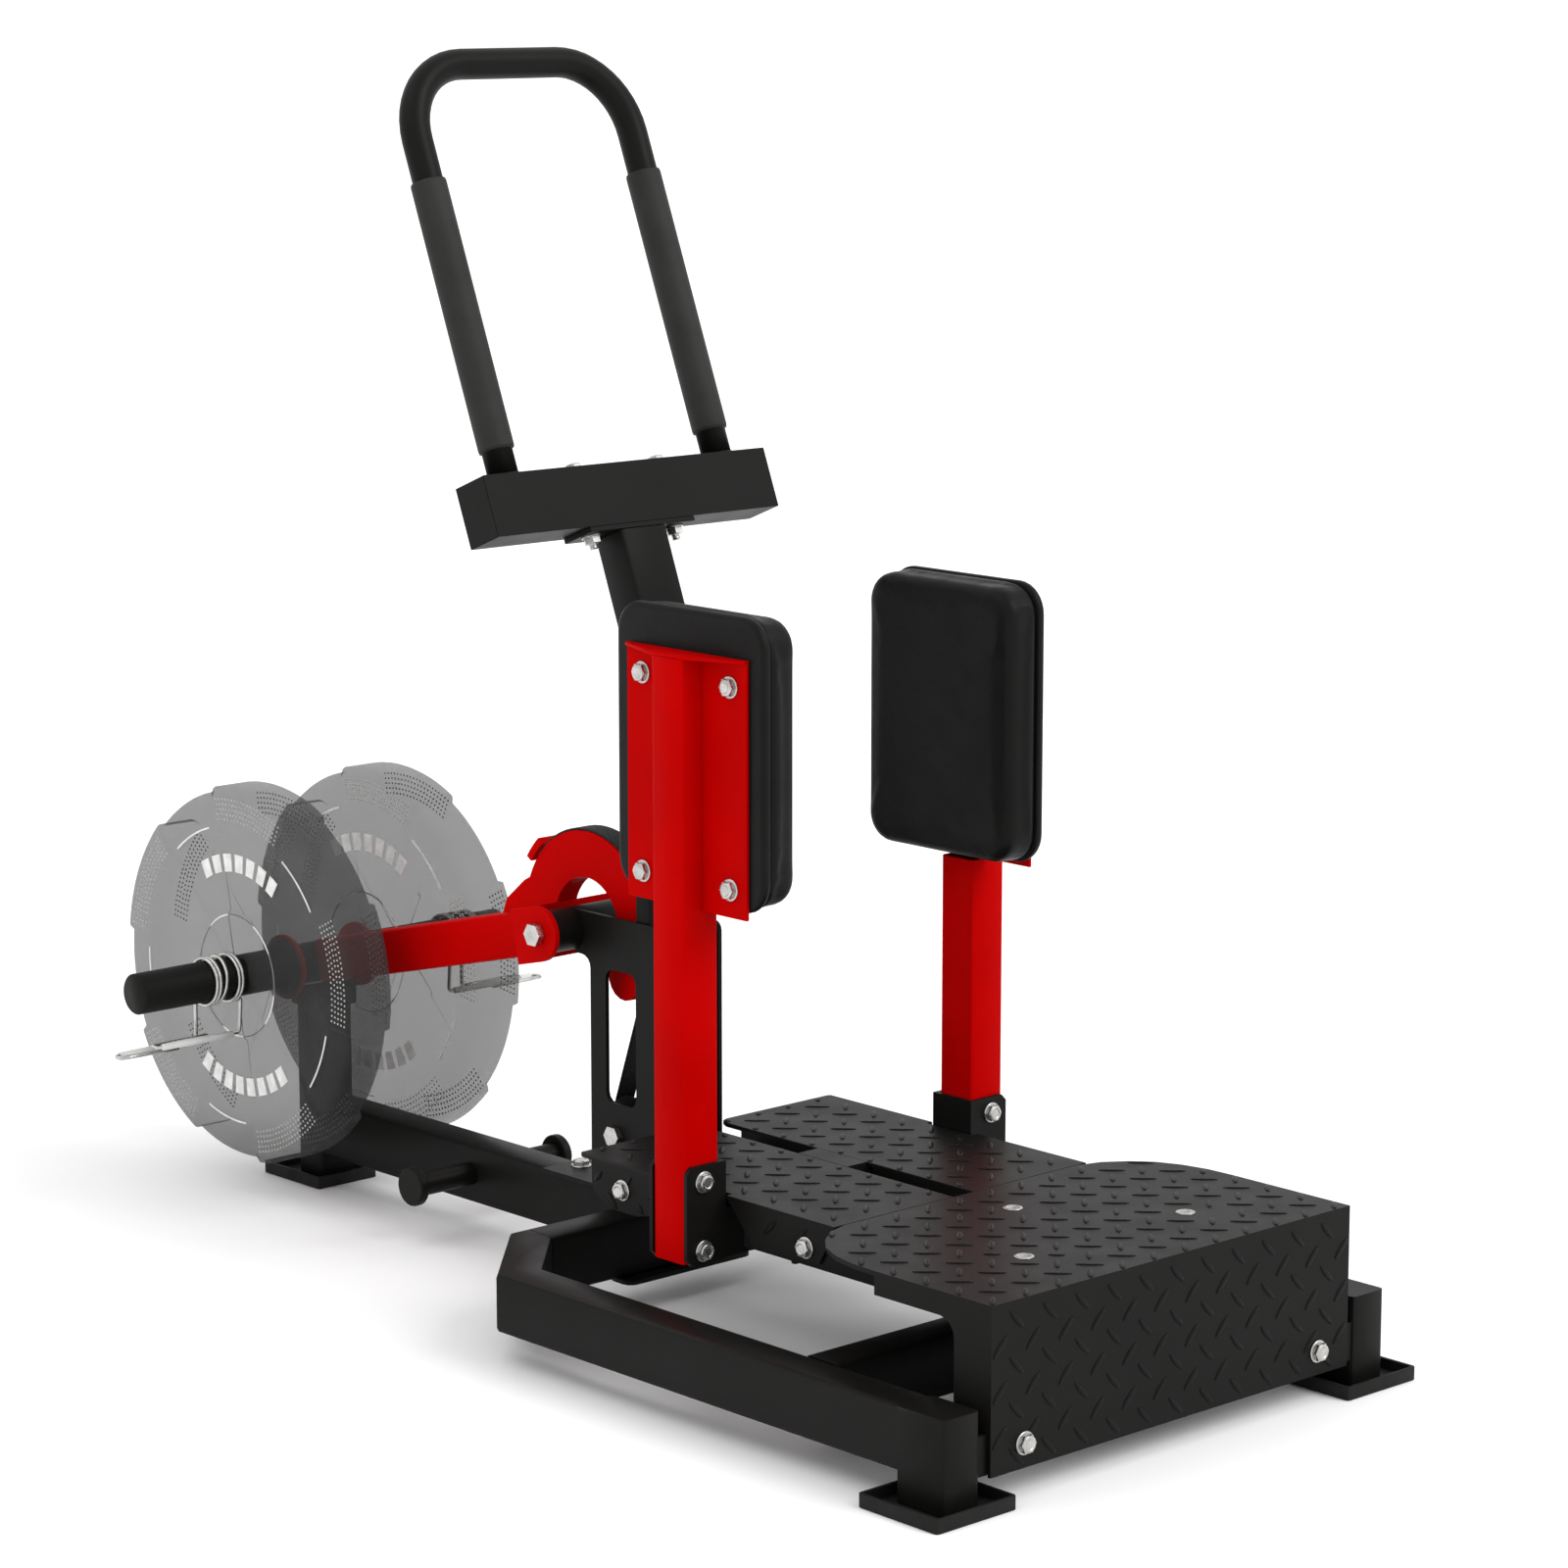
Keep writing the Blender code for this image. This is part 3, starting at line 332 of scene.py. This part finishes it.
def floor_paint():
    """Plain pale studio floor."""
    colour = (0.93, 0.93, 0.93)
    material, tree, shader, place = start_material("studio_floor", colour, 0.0, 0.95, 0.0)
    vary_colour(tree, shader, noise(tree, place, 1.5, 2.0), tint(colour, 0.99), tint(colour, 1.01))
    return material


MATERIALS = {
    "black": powder_coat("black_coat", (0.0056, 0.0052, 0.0048), 0.42, 0.09, 0.06),
    "red": powder_coat("red_coat", (0.42, 0.0002, 0.0002), 0.4, 0.01, 0.03),
    "zinc": zinc_plate(),
    "vinyl": vinyl(),
    "foam": foam(),
    "rubber": rubber("tray_rubber", (0.0075, 0.0072, 0.0068)),
    "webbing": webbing(),
    "ghost": ghost_rubber(),
    "print": pale_print("pale_print", (0.72, 0.72, 0.71)),
    "dots": pale_print("plate_dots", (0.42, 0.42, 0.41)),
    "grip": rubber("pale_grip", (0.55, 0.55, 0.54), 0.4),
    "floor": floor_paint(),
}


# ---------------------------------------------------------------- CAD nodes that stay
def look_of(name):
    """Material key for a carried-over CAD node."""
    if name.startswith(("lever_fork", "lever_tube", "lever_cam", "strap_clamp", "pad_post", "pad_plate")):
        return "red"
    if name.startswith(("foot_tray", "rear_foot_tray", "lever_stop")):
        return "rubber"
    if name.endswith("_axle") or name == "strap_yoke":
        return "zinc"
    if name.startswith("pad_"):
        return "vinyl"
    if name.startswith("foam_grip"):
        return "foam"
    return "webbing" if name == "strap" else "black"


WIDE_EDGES = ("base_beam", "foot_tray", "rear_foot_tray", "handle_cross_box", "platform_front")


def dress_nodes():
    """Give every CAD node its finish, and its edges a small radius."""
    for name, item in nodes.items():
        for attribute in list(item.data.attributes):
            if attribute.name == "custom_normal":
                item.data.attributes.remove(attribute)
        item.data.materials.clear()
        item.data.materials.append(MATERIALS[look_of(name)])
        item.data.polygons.foreach_set("use_smooth", [True] * len(item.data.polygons))
        wide = name.startswith(WIDE_EDGES)
        bevel_edges(item, 0.0016 if wide else 0.0009)


# ---------------------------------------------------------------- round parts made finer
def axis_matrix(point):
    """Frame at a point with its Z along +X."""
    return Matrix.Translation(Vector(point)) @ turn_to((1.0, 0.0, 0.0))


def handle_frame():
    """Origin, up and across directions of the leaning handle, read from its foam grips."""
    grip_low, grip_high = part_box("foam_grip_right")
    radius = (grip_high.x - grip_low.x) / 2.0
    rise = grip_high.z - grip_low.z
    run = grip_high.y - grip_low.y
    lean = math.radians(20.0)
    for _ in range(20):
        lean = math.atan2(run - 2.0 * radius * math.cos(lean), rise - 2.0 * radius * math.sin(lean))
    up = Vector((0.0, math.sin(lean), math.cos(lean)))
    back = Vector((0.0, math.cos(lean), -math.sin(lean)))
    length = (rise - 2.0 * radius * math.sin(lean)) / math.cos(lean)
    start = Vector(((grip_low.x + grip_high.x) / 2.0,
                    grip_low.y + radius * math.cos(lean), grip_low.z + radius * math.sin(lean)))
    return start, up, back, length, radius


def make_handle():
    """Smooth handle tube and foam grips with rounded ends and a bare tube ring."""
    start, up, _, length, radius = handle_frame()
    bar = high("handle_bar")
    tube_radius = 0.0175
    bend = 0.088
    half = start.x
    foot_drop = 0.0312
    foot = start - up * foot_drop
    top = (bar.z - tube_radius - foot.z) / up.z
    path = [Vector((-half, foot.y, foot.z))]
    path += [Vector((-half, foot.y, foot.z)) + up * (top - bend) * t for t in (0.5, 0.98)]
    for sign in (-1, 1):
        for i in range(13):
            angle = math.pi * (1.0 - i / 24.0) if sign < 0 else math.pi * (0.5 - i / 24.0)
            across = sign * (half - bend) + bend * math.cos(angle)
            rise = top - bend + bend * math.sin(angle)
            path.append(Vector((across, foot.y, foot.z)) + up * rise)
    path += [Vector((half, foot.y, foot.z)) + up * (top - bend) * t for t in (0.98, 0.5)]
    path.append(Vector((half, foot.y, foot.z)))
    item = new_object("handle_tube", lambda work: add_tube(work, path, tube_radius, 28), MATERIALS["black"])
    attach(item, "frame")
    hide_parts("handle_bar")
    for label, side in SIDES:
        base = Vector((side * half, start.y, start.z))
        matrix = Matrix.Translation(base) @ turn_to(up)
        profile = [(tube_radius + 0.0002, 0.0), (radius - 0.0035, 0.0), (radius - 0.0006, 0.0008),
                   (radius, 0.004), (radius, length - 0.004), (radius - 0.0006, length - 0.0008),
                   (radius - 0.0035, length), (tube_radius + 0.0002, length)]
        grip = new_object("grip_" + label, lambda work: add_turned(work, matrix, profile, 40),
                          MATERIALS["foam"])
        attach(grip, "frame")
        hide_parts("foam_grip_" + label)
        foot = base - up * foot_drop
        collar = new_object("handle_weld_" + label, lambda work: add_weld(work, foot, up, tube_radius),
                            MATERIALS["black"])
        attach(collar, "frame")


def add_weld(work, place, direction, radius):
    """Fillet bead round the foot of a tube."""
    matrix = Matrix.Translation(place) @ turn_to(direction)
    rings = []
    for i in range(48):
        angle = 2.0 * math.pi * i / 48
        swell = 0.0018 + 0.0004 * math.sin(angle * 16.0)
        ring = []
        for k in range(8):
            turn = 2.0 * math.pi * k / 8
            reach = radius + swell * math.cos(turn)
            ring.append(matrix @ Vector((reach * math.cos(angle), reach * math.sin(angle),
                                         swell * (0.6 + math.sin(turn)))))
        rings.append(ring)
    add_rings(work, rings, closed=True)


def make_sleeve():
    """Loading sleeve in finer rounds, with red flanges and black tapered collars."""
    size = high("weight_sleeve") - low("weight_sleeve")
    centre = middle("weight_sleeve")
    half = size.x / 2.0
    radius = 0.025
    matrix = axis_matrix(centre)
    body = [(0.0235, -half), (radius, -half + 0.0015), (radius, half - 0.0015), (0.0235, half)]
    sleeve = new_object("sleeve_tube", lambda work: add_turned(work, matrix, body, 48), MATERIALS["black"])
    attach(sleeve, "lever")
    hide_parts("weight_sleeve")
    for label, side in SIDES:
        flange = [(radius, side * 0.0530), (0.0395, side * 0.0530), (0.0400, side * 0.0536),
                  (0.0400, side * 0.0579), (0.0395, side * 0.0585), (radius, side * 0.0585)]
        plate = new_object("sleeve_flange_" + label, lambda work: add_turned(work, matrix, flange, 48),
                           MATERIALS["red"])
        cone = [(radius, side * 0.0586), (0.0345, side * 0.0586), (0.0355, side * 0.0596),
                (0.0350, side * 0.0630), (0.0262, side * 0.0676), (radius, side * 0.0678)]
        collar = new_object("sleeve_collar_" + label, lambda work: add_turned(work, matrix, cone, 48),
                            MATERIALS["black"])
        for item in (plate, collar):
            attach(item, "lever")


# ---------------------------------------------------------------- weight plates and collars
RAISED_CENTRES = (10.0, 82.0, 154.0, 226.0, 298.0)
RAISED_HALF = 19.0


def raised_share(angle):
    """1 on a raised rim segment, 0 between them, with a short ramp."""
    best = min(abs((angle - centre + 180.0) % 360.0 - 180.0) for centre in RAISED_CENTRES)
    return max(0.0, min(1.0, (RAISED_HALF + 0.8 - best) / 0.8))


def plate_ring(angle, inner, outer, radius, bore):
    """Cross-section of the plate at one angle: (along, radius) points, a closed loop."""
    lift = 0.0022 * raised_share(angle)
    rim = radius - 0.0062 + 0.0062 * raised_share(angle)
    near, far = outer - 0.0022 + lift, inner + 0.0022 - lift
    return [(far, bore), (far, 0.076), (far + 0.0050, 0.082), (far + 0.0050, 0.172),
            (far + 0.0008, 0.181), (far, 0.187), (far, rim - 0.008), (far + 0.003, rim - 0.002),
            (far + 0.007, rim), (near - 0.007, rim), (near - 0.003, rim - 0.002), (near, rim - 0.008),
            (near, 0.187), (near - 0.0008, 0.181), (near - 0.0050, 0.172), (near - 0.0050, 0.082),
            (near, 0.076), (near, bore)]


def plate_point(centre, side, along, radius, angle):
    turn = math.radians(angle)
    return Vector((side * along, centre.y - radius * math.cos(turn), centre.z + radius * math.sin(turn)))


def add_dots(work, centre, side, along, facing):
    """Bands of small raised dots on the rim segments."""
    for middle_angle in RAISED_CENTRES:
        for row in range(5):
            radius = 0.193 + 0.0062 * row
            count = int(2.0 * math.radians(RAISED_HALF - 2.0) * radius / 0.0064)
            for i in range(count + 1):
                angle = middle_angle + (RAISED_HALF - 2.0) * (2.0 * i / count - 1.0)
                rings = []
                for reach, rise in ((0.0015, 0.0), (0.0011, 0.0006)):
                    ring = []
                    for k in range(6):
                        turn = 2.0 * math.pi * k / 6
                        step = math.degrees(reach * math.cos(turn) / radius)
                        ring.append(plate_point(centre, side, along + facing * rise,
                                                radius + reach * math.sin(turn), angle + step))
                    rings.append(ring)
                add_rings(work, rings)


def add_arc_band(work, centre, side, along, facing, start, stop, inner, outer, thick=0.0005):
    """Thin raised band along an arc on the plate's face."""
    steps = max(2, int(abs(stop - start) / 2.5))
    rings = []
    for i in range(steps + 1):
        angle = start + (stop - start) * i / steps
        corners = ((along, inner), (along, outer), (along + facing * thick, outer),
                   (along + facing * thick, inner))
        rings.append([plate_point(centre, side, out, radius, angle) for out, radius in corners])
    add_rings(work, rings)


def add_plate_marks(work, centre, side, along, facing):
    """Plain blocks and fine ridges in place of any lettering."""
    face = along - facing * 0.0050
    for start, count in ((57.0, 7), (237.0, 8)):
        for i in range(count):
            begin = start + i * 9.4
            add_arc_band(work, centre, side, face, facing, begin, begin + 6.4, 0.128, 0.150)
    for middle_angle in RAISED_CENTRES:
        add_arc_band(work, centre, side, face + facing * 0.0040, facing, middle_angle + 24.0,
                     middle_angle + 48.0, 0.1830, 0.1852)
    add_arc_band(work, centre, side, along - facing * 0.0016, facing, 0.0, 359.9, 0.0745, 0.0765)


def make_weight_plate(label, side):
    node = "weight_plate_" + label
    centre = middle(node)
    inner = min(abs(low(node).x), abs(high(node).x))
    outer = max(abs(low(node).x), abs(high(node).x))
    radius = (high(node).z - low(node).z) / 2.0
    bore = 0.0253

    def make(work):
        rings = []
        for i in range(360):
            section = plate_ring(float(i), inner, outer, radius, bore)
            rings.append([plate_point(centre, side, along, reach, float(i)) for along, reach in section])
        add_rings(work, rings, closed=True)
    plate = new_object("bumper_plate_" + label, make, MATERIALS["ghost"])
    bevel_edges(plate, 0.0008, 40.0)
    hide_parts(node)

    def make_dots(work):
        add_dots(work, centre, side, outer, 1)
        add_dots(work, centre, side, inner, -1)
    dots = new_object("plate_dots_" + label, make_dots, MATERIALS["dots"], smooth=False)
    face, facing = (outer, 1) if side < 0 else (inner, -1)
    marks = new_object("plate_marks_" + label,
                       lambda work: add_plate_marks(work, centre, side, face, facing),
                       MATERIALS["print"], smooth=False)
    for item in (plate, dots, marks):
        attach(item, "plate_" + label)


WIRE_RADIUS = 0.0024


def make_spring_collar(label, side):
    """Wire collar: two tight groups of coils and bent squeeze handles with pale grips."""
    node = "spring_collar_" + label
    sleeve = middle("weight_sleeve")
    start = min(abs(low(node).x), abs(high(node).x)) + 0.0026
    reach = 0.0286
    turns = 5.19
    first = [(start + 0.038, 0.002, -0.068), (start + 0.118, 0.002, -0.068), (start + 0.121, -0.005, -0.068),
             (start + 0.118, -0.012, -0.068), (start + 0.003, -0.012, -0.068), (start, -0.013, -0.064),
             (start, -0.015, -0.042)]
    end = start + 0.044
    last = [(end, 0.016, -0.044), (end, 0.016, -0.072), (end + 0.003, 0.016, -0.076),
            (end + 0.118, 0.016, -0.076), (end + 0.121, 0.008, -0.076), (end + 0.118, 0.0, -0.076),
            (end + 0.038, 0.0, -0.076)]
    coils = []
    for i in range(181):
        share = i / 180.0
        angle = math.radians(-125.0 + 360.0 * turns * share)
        coils.append((start + 0.044 * spread(share), reach * math.cos(angle), reach * math.sin(angle)))
    path = [Vector((side * x, sleeve.y + y, sleeve.z + z)) for x, y, z in first + coils + last]
    item = new_object(node + "_wire", lambda work: add_tube(work, soften(path), WIRE_RADIUS, 10),
                      MATERIALS["zinc"])
    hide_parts(node)
    runs = [(path[3], path[4]), (path[-4], path[-5])]

    def make_grips(work):
        for tip, root in runs:
            matrix = Matrix.Translation(root) @ turn_to(tip - root)
            length = (tip - root).length
            profile = [(0.0026, 0.006), (0.0040, 0.007), (0.0044, length * 0.5), (0.0040, length - 0.005),
                       (0.0026, length - 0.004)]
            add_turned(work, matrix, profile, 16)
    grips = new_object(node + "_grips", make_grips, MATERIALS["grip"])
    for piece in (item, grips):
        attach(piece, "collar_" + label)


def spread(share):
    """Coil position along the sleeve: two tight groups with one open turn between."""
    if share < 0.42:
        return 0.60 * share
    if share < 0.58:
        return 0.252 + (share - 0.42) * 3.1
    return 0.748 + (share - 0.58) * 0.60


def soften(path):
    """Round the corners of a path by one pass of corner cutting."""
    points = [path[0]]
    for first, second in zip(path, path[1:]):
        points.append(first.lerp(second, 0.25))
        points.append(first.lerp(second, 0.75))
    points.append(path[-1])
    return points


# ---------------------------------------------------------------- tread pattern
BAR_PITCH = 0.0465
BAR_HALF_LENGTH, BAR_HALF_WIDTH, BAR_RISE = 0.0150, 0.0034, 0.0013


def add_bar(work, origin, along, across, normal, share):
    """One lens-shaped tread bar."""
    rings = []
    for scale, rise in ((1.0, -0.0003), (0.93, 0.0007), (0.62, BAR_RISE * 0.86), (0.25, BAR_RISE)):
        ring = []
        for k in range(14):
            angle = 2.0 * math.pi * k / 14
            reach = BAR_HALF_LENGTH * share * scale * math.cos(angle)
            width = BAR_HALF_WIDTH * scale * math.copysign(abs(math.sin(angle)) ** 1.25, math.sin(angle))
            ring.append(origin + along * reach + across * width + normal * rise)
        rings.append(ring)
    add_rings(work, rings)


def tread(name, node, level_point, first, second, normal):
    """Alternating bars wherever the node's own face lies under them."""
    first, second, normal = Vector(first), Vector(second), Vector(normal)
    item = nodes[node]
    tree = BVHTree.FromPolygons([v.co for v in item.data.vertices], [p.vertices for p in item.data.polygons])
    level = Vector(level_point).dot(normal)
    lowest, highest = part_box(node)
    corners = [Vector((x, y, z)) for x in (lowest.x, highest.x) for y in (lowest.y, highest.y)
               for z in (lowest.z, highest.z)]
    spans = []
    for axis in (first, second):
        values = [corner.dot(axis) for corner in corners]
        first_bar = math.floor(min(values) / BAR_PITCH * 2.0) - 1
        last_bar = math.ceil(max(values) / BAR_PITCH * 2.0) + 1
        spans.append((first_bar, last_bar))

    def on_face(point):
        if any((point - screw).length < 0.0215 for screw in tread_screws()):
            return False
        hit = tree.ray_cast(point + normal * 0.02, -normal, 0.0215)
        return hit[0] is not None and abs(hit[0].dot(normal) - level) < 0.0006

    def make(work):
        for i in range(*spans[0]):
            for j in range(*spans[1]):
                if (i + j) % 2:
                    continue
                slant = 1.0 if i % 2 else -1.0
                origin = first * (i * BAR_PITCH / 2.0) + second * (j * BAR_PITCH / 2.0) + normal * level
                along = (first + second * slant).normalized()
                across = normal.cross(along)
                for share in (1.0, 0.8, 0.6, 0.45):
                    reach = along * (BAR_HALF_LENGTH * share + 0.001)
                    if all(on_face(origin + offset) for offset in (reach, -reach, Vector())):
                        add_bar(work, origin, along, across, normal, share)
                        break
    bars = new_object(name, make, MATERIALS["black"])
    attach(bars, "frame")
    return bars


def make_treads():
    top = high("platform_front_cover")
    front = low("platform_front_cover")
    tread("tread_cover_top", "platform_front_cover", top, (1, 0, 0), (0, 1, 0), (0, 0, 1))
    tread("tread_riser", "platform_front_cover", front, (1, 0, 0), (0, 0, 1), (0, -1, 0))
    for label, side in SIDES:
        node = "foot_plate_" + label
        outer = high(node) if side > 0 else low(node)
        tread("tread_plate_" + label, node, high(node), (1, 0, 0), (0, 1, 0), (0, 0, 1))
        tread("tread_tabs_" + label, node, outer, (0, 1, 0), (0, 0, 1), (side, 0, 0))


# ---------------------------------------------------------------- bolts and screws
PAD_BOLT_FACE, BRACKET_BOLT_X = 0.2121, 0.2165


def make_bolts():
    """Every visible bolt and nut, placed from the boxes of the parts it holds."""
    for label, side in SIDES:
        arm = "arm_" + label
        plate_low, plate_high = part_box("pad_plate_" + label)
        y_mid = (plate_low.y + plate_high.y) / 2.0
        face = side * PAD_BOLT_FACE
        places = [(face, y_mid + dy, z) for dy in (-0.069, 0.069)
                  for z in (plate_low.z + 0.030, plate_high.z - 0.030)]
        bolts("pad_bolts_" + label, places, (side, 0, 0), 0.0122, arm)
        bracket_low, bracket_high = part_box("swing_arm_" + label)
        x = side * BRACKET_BOLT_X
        heights = (bracket_low.z + 0.0145, bracket_high.z - 0.0180)
        for end, y, outward in (("front", bracket_low.y, -1), ("rear", bracket_high.y, 1)):
            places = [(x, y, z) for z in heights]
            bolts("bracket_bolts_" + end + "_" + label, places, (0, outward, 0), 0.0118, arm)
        plate_low, plate_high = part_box("foot_plate_" + label)
        edge = side * max(abs(plate_low.x), abs(plate_high.x))
        places = [(edge, plate_low.y + 0.043, plate_high.z - 0.031),
                  (edge, plate_high.y - 0.073, plate_high.z - 0.029)]
        bolts("plate_bolts_" + label, places, (side, 0, 0), 0.0120, "frame")
    riser = low("platform_front_cover")
    places = [(x, riser.y, riser.z + 0.026) for x in (-0.221, 0.221)]
    bolts("riser_bolts", places, (0, -1, 0), 0.0125, "frame")
    base = high("tower_base_plate")
    bolts("tower_bolt", [(0.0, base.y - 0.024, base.z)], (0, 0, 1), 0.0120, "frame")
    _, up, back, _, _ = handle_frame()
    plate_low, plate_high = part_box("handle_mount_plate")
    centre = (plate_low + plate_high) / 2.0 - back * 0.0035
    under = centre - up * 0.0029
    over = centre + up * 0.0734
    offsets = [Vector((x, 0.0, 0.0)) for x in (-0.061, 0.061)]
    bolts("handle_nuts", [under + offset for offset in offsets], -up, 0.0115, "frame", add_nut)
    bolts("handle_bolts", [over + offset for offset in offsets], up, 0.0115, "frame")


def tread_screws():
    """Places of the countersunk screws on the front cover."""
    top = high("platform_front_cover")
    return [Vector((x, top.y - back, top.z)) for x, back in ((-0.121, 0.2075), (0.121, 0.2075), (0.0, 0.073))]


def make_tread_screws():
    """Three countersunk screws on the tread."""
    def make(work):
        for place in tread_screws():
            matrix = Matrix.Translation(place)
            profile = [(0.0106, 0.0), (0.0104, 0.0006), (0.0088, 0.0010), (0.0046, 0.0010), (0.0042, 0.0002)]
            add_turned(work, matrix, profile, 32)
    screws = new_object("tread_screws", make, MATERIALS["zinc"])
    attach(screws, "frame")


# ---------------------------------------------------------------- pads
def rounded_outline(half_y, half_z, radius, steps=8):
    points = []
    for sign_y, sign_z, start in ((1, 1, 0), (-1, 1, 90), (-1, -1, 180), (1, -1, 270)):
        for i in range(steps + 1):
            angle = math.radians(start + 90.0 * i / steps)
            points.append((sign_y * (half_y - radius) + radius * math.cos(angle),
                           sign_z * (half_z - radius) + radius * math.sin(angle)))
    return points


def add_slab(work, centre, half_y, half_z, radius, layers):
    """Rounded slab from layers of (x, inset)."""
    rings = []
    for x, inset in layers:
        outline = rounded_outline(half_y - inset, half_z - inset, max(radius - inset, 0.004))
        rings.append([Vector((x, centre.y + y, centre.z + z)) for y, z in outline])
    add_rings(work, rings)


def apply_modifiers(item):
    graph = bpy.context.evaluated_depsgraph_get()
    graph.update()
    mesh = bpy.data.meshes.new_from_object(item.evaluated_get(graph))
    item.modifiers.clear()
    item.data = mesh


def inflate(item, cap, back_x):
    """Swell a cushion with cloth pressure, its back held, and limit how far it moves."""
    rest = [v.co.copy() for v in item.data.vertices]
    held = item.vertex_groups.new(name="held")
    held.add([i for i, co in enumerate(rest) if abs(co.x - back_x) < 0.006], 1.0, "REPLACE")
    cloth = item.modifiers.new("cloth", "CLOTH")
    settings = cloth.settings
    settings.quality = 6
    settings.mass = 0.3
    settings.tension_stiffness = 25.0
    settings.compression_stiffness = 25.0
    settings.use_pressure = True
    settings.uniform_pressure_force = 4.0
    settings.vertex_group_mass = "held"
    settings.effector_weights.gravity = 0.0
    scene = bpy.context.scene
    for step in range(1, 21):
        scene.frame_set(step)
    graph = bpy.context.evaluated_depsgraph_get()
    moved = [v.co.copy() for v in item.evaluated_get(graph).data.vertices]
    item.modifiers.remove(cloth)
    scene.frame_set(1)
    for vertex, start, end in zip(item.data.vertices, rest, moved):
        shift = end - start
        if shift.length > cap:
            shift = shift.normalized() * cap
        vertex.co = start + shift


def make_pads():
    """Vinyl cushions, inflated, on boards with rounded edges."""
    for label, side in SIDES:
        cushion_low, cushion_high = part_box("pad_cushion_" + label)
        size = cushion_high - cushion_low
        centre = (cushion_low + cushion_high) / 2.0
        back = side * max(abs(cushion_low.x), abs(cushion_high.x))
        face = side * min(abs(cushion_low.x), abs(cushion_high.x))
        toward = 1.0 if face > back else -1.0
        layers = [(back, 0.0035), (back + toward * 0.0020, 0.0012), (back + toward * 0.0050, 0.0002),
                  (face - toward * 0.0150, 0.0002), (face - toward * 0.0095, 0.0012),
                  (face - toward * 0.0050, 0.0042), (face - toward * 0.0022, 0.0085),
                  (face - toward * 0.0012, 0.0150)]
        cushion = new_object("cushion_" + label,
                             lambda work: add_slab(work, centre, size.y / 2.0, size.z / 2.0, 0.034, layers),
                             MATERIALS["vinyl"])
        remesh = cushion.modifiers.new("remesh", "REMESH")
        remesh.mode = "VOXEL"
        remesh.voxel_size = 0.004
        smooth = cushion.modifiers.new("smooth", "SMOOTH")
        smooth.iterations = 2
        apply_modifiers(cushion)
        inflate(cushion, 0.0015, back)
        finer = cushion.modifiers.new("subdivision", "SUBSURF")
        finer.levels = 1
        finer.render_levels = 1
        apply_modifiers(cushion)
        cushion.data.polygons.foreach_set("use_smooth", [True] * len(cushion.data.polygons))
        cushion.data.materials.clear()
        cushion.data.materials.append(MATERIALS["vinyl"])
        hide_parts("pad_cushion_" + label)
        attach(cushion, "arm_" + label)
        make_board(label, side)


def make_board(label, side):
    """Vinyl-wrapped board behind the cushion."""
    board_low, board_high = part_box("pad_board_" + label)
    size = board_high - board_low
    centre = (board_low + board_high) / 2.0
    near = side * min(abs(board_low.x), abs(board_high.x))
    far = side * max(abs(board_low.x), abs(board_high.x))
    away = 1.0 if far > near else -1.0
    layers = [(near, 0.0018), (near + away * 0.0008, 0.0005), (near + away * 0.0022, 0.0),
              (far - away * 0.0040, 0.0), (far - away * 0.0018, 0.0010), (far - away * 0.0004, 0.0030),
              (far, 0.0060)]
    board = new_object("board_" + label,
                       lambda work: add_slab(work, centre, size.y / 2.0, size.z / 2.0, 0.035, layers),
                       MATERIALS["vinyl"])
    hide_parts("pad_board_" + label)
    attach(board, "arm_" + label)


# ---------------------------------------------------------------- studio
def make_studio():
    """Pale floor, even light, one soft key and a weak fill, shown with plain contrast."""
    bpy.ops.mesh.primitive_circle_add(vertices=96, radius=60.0, fill_type="NGON", location=(0, 0, -0.0004))
    floor = bpy.context.object
    floor.name = "studio_floor"
    floor.data.materials.append(MATERIALS["floor"])
    make_world()
    bpy.context.scene.view_settings.view_transform = "Standard"
    for name, place, spread_angle, strength in (("key", (1.6, -3.6, 3.3), 35.0, 1.5),
                                                ("fill", (-3.0, 1.0, 4.0), 50.0, 0.35)):
        data = bpy.data.lights.new(name, "SUN")
        data.energy = strength
        data.angle = math.radians(spread_angle)
        light = bpy.data.objects.new(name, data)
        light.location = place
        light.rotation_euler = (-Vector(place)).to_track_quat("-Z", "Y").to_euler()
        bpy.context.scene.collection.objects.link(light)


def make_world():
    """Even white light from all round, which is also the backdrop."""
    world = bpy.data.worlds.new("studio")
    bpy.context.scene.world = world
    world.use_nodes = True
    surround = world.node_tree.nodes["Background"]
    surround.inputs["Color"].default_value = (1.0, 1.0, 1.0, 1.0)
    surround.inputs["Strength"].default_value = 1.05


def make_camera():
    data = bpy.data.cameras.new("camera")
    data.sensor_width = 36.0
    data.lens = 104.7
    camera = bpy.data.objects.new("camera", data)
    camera.location = (-3.3277, -3.8411, 1.5137)
    camera.rotation_euler = (math.radians(90.0 - 10.4), 0.0, math.radians(-42.7))
    bpy.context.scene.collection.objects.link(camera)
    bpy.context.scene.camera = camera


make_camera()
make_studio()
dress_nodes()
make_handle()
make_sleeve()
for label, side in SIDES:
    make_weight_plate(label, side)
    make_spring_collar(label, side)
make_treads()
make_bolts()
make_tread_screws()
make_pads()
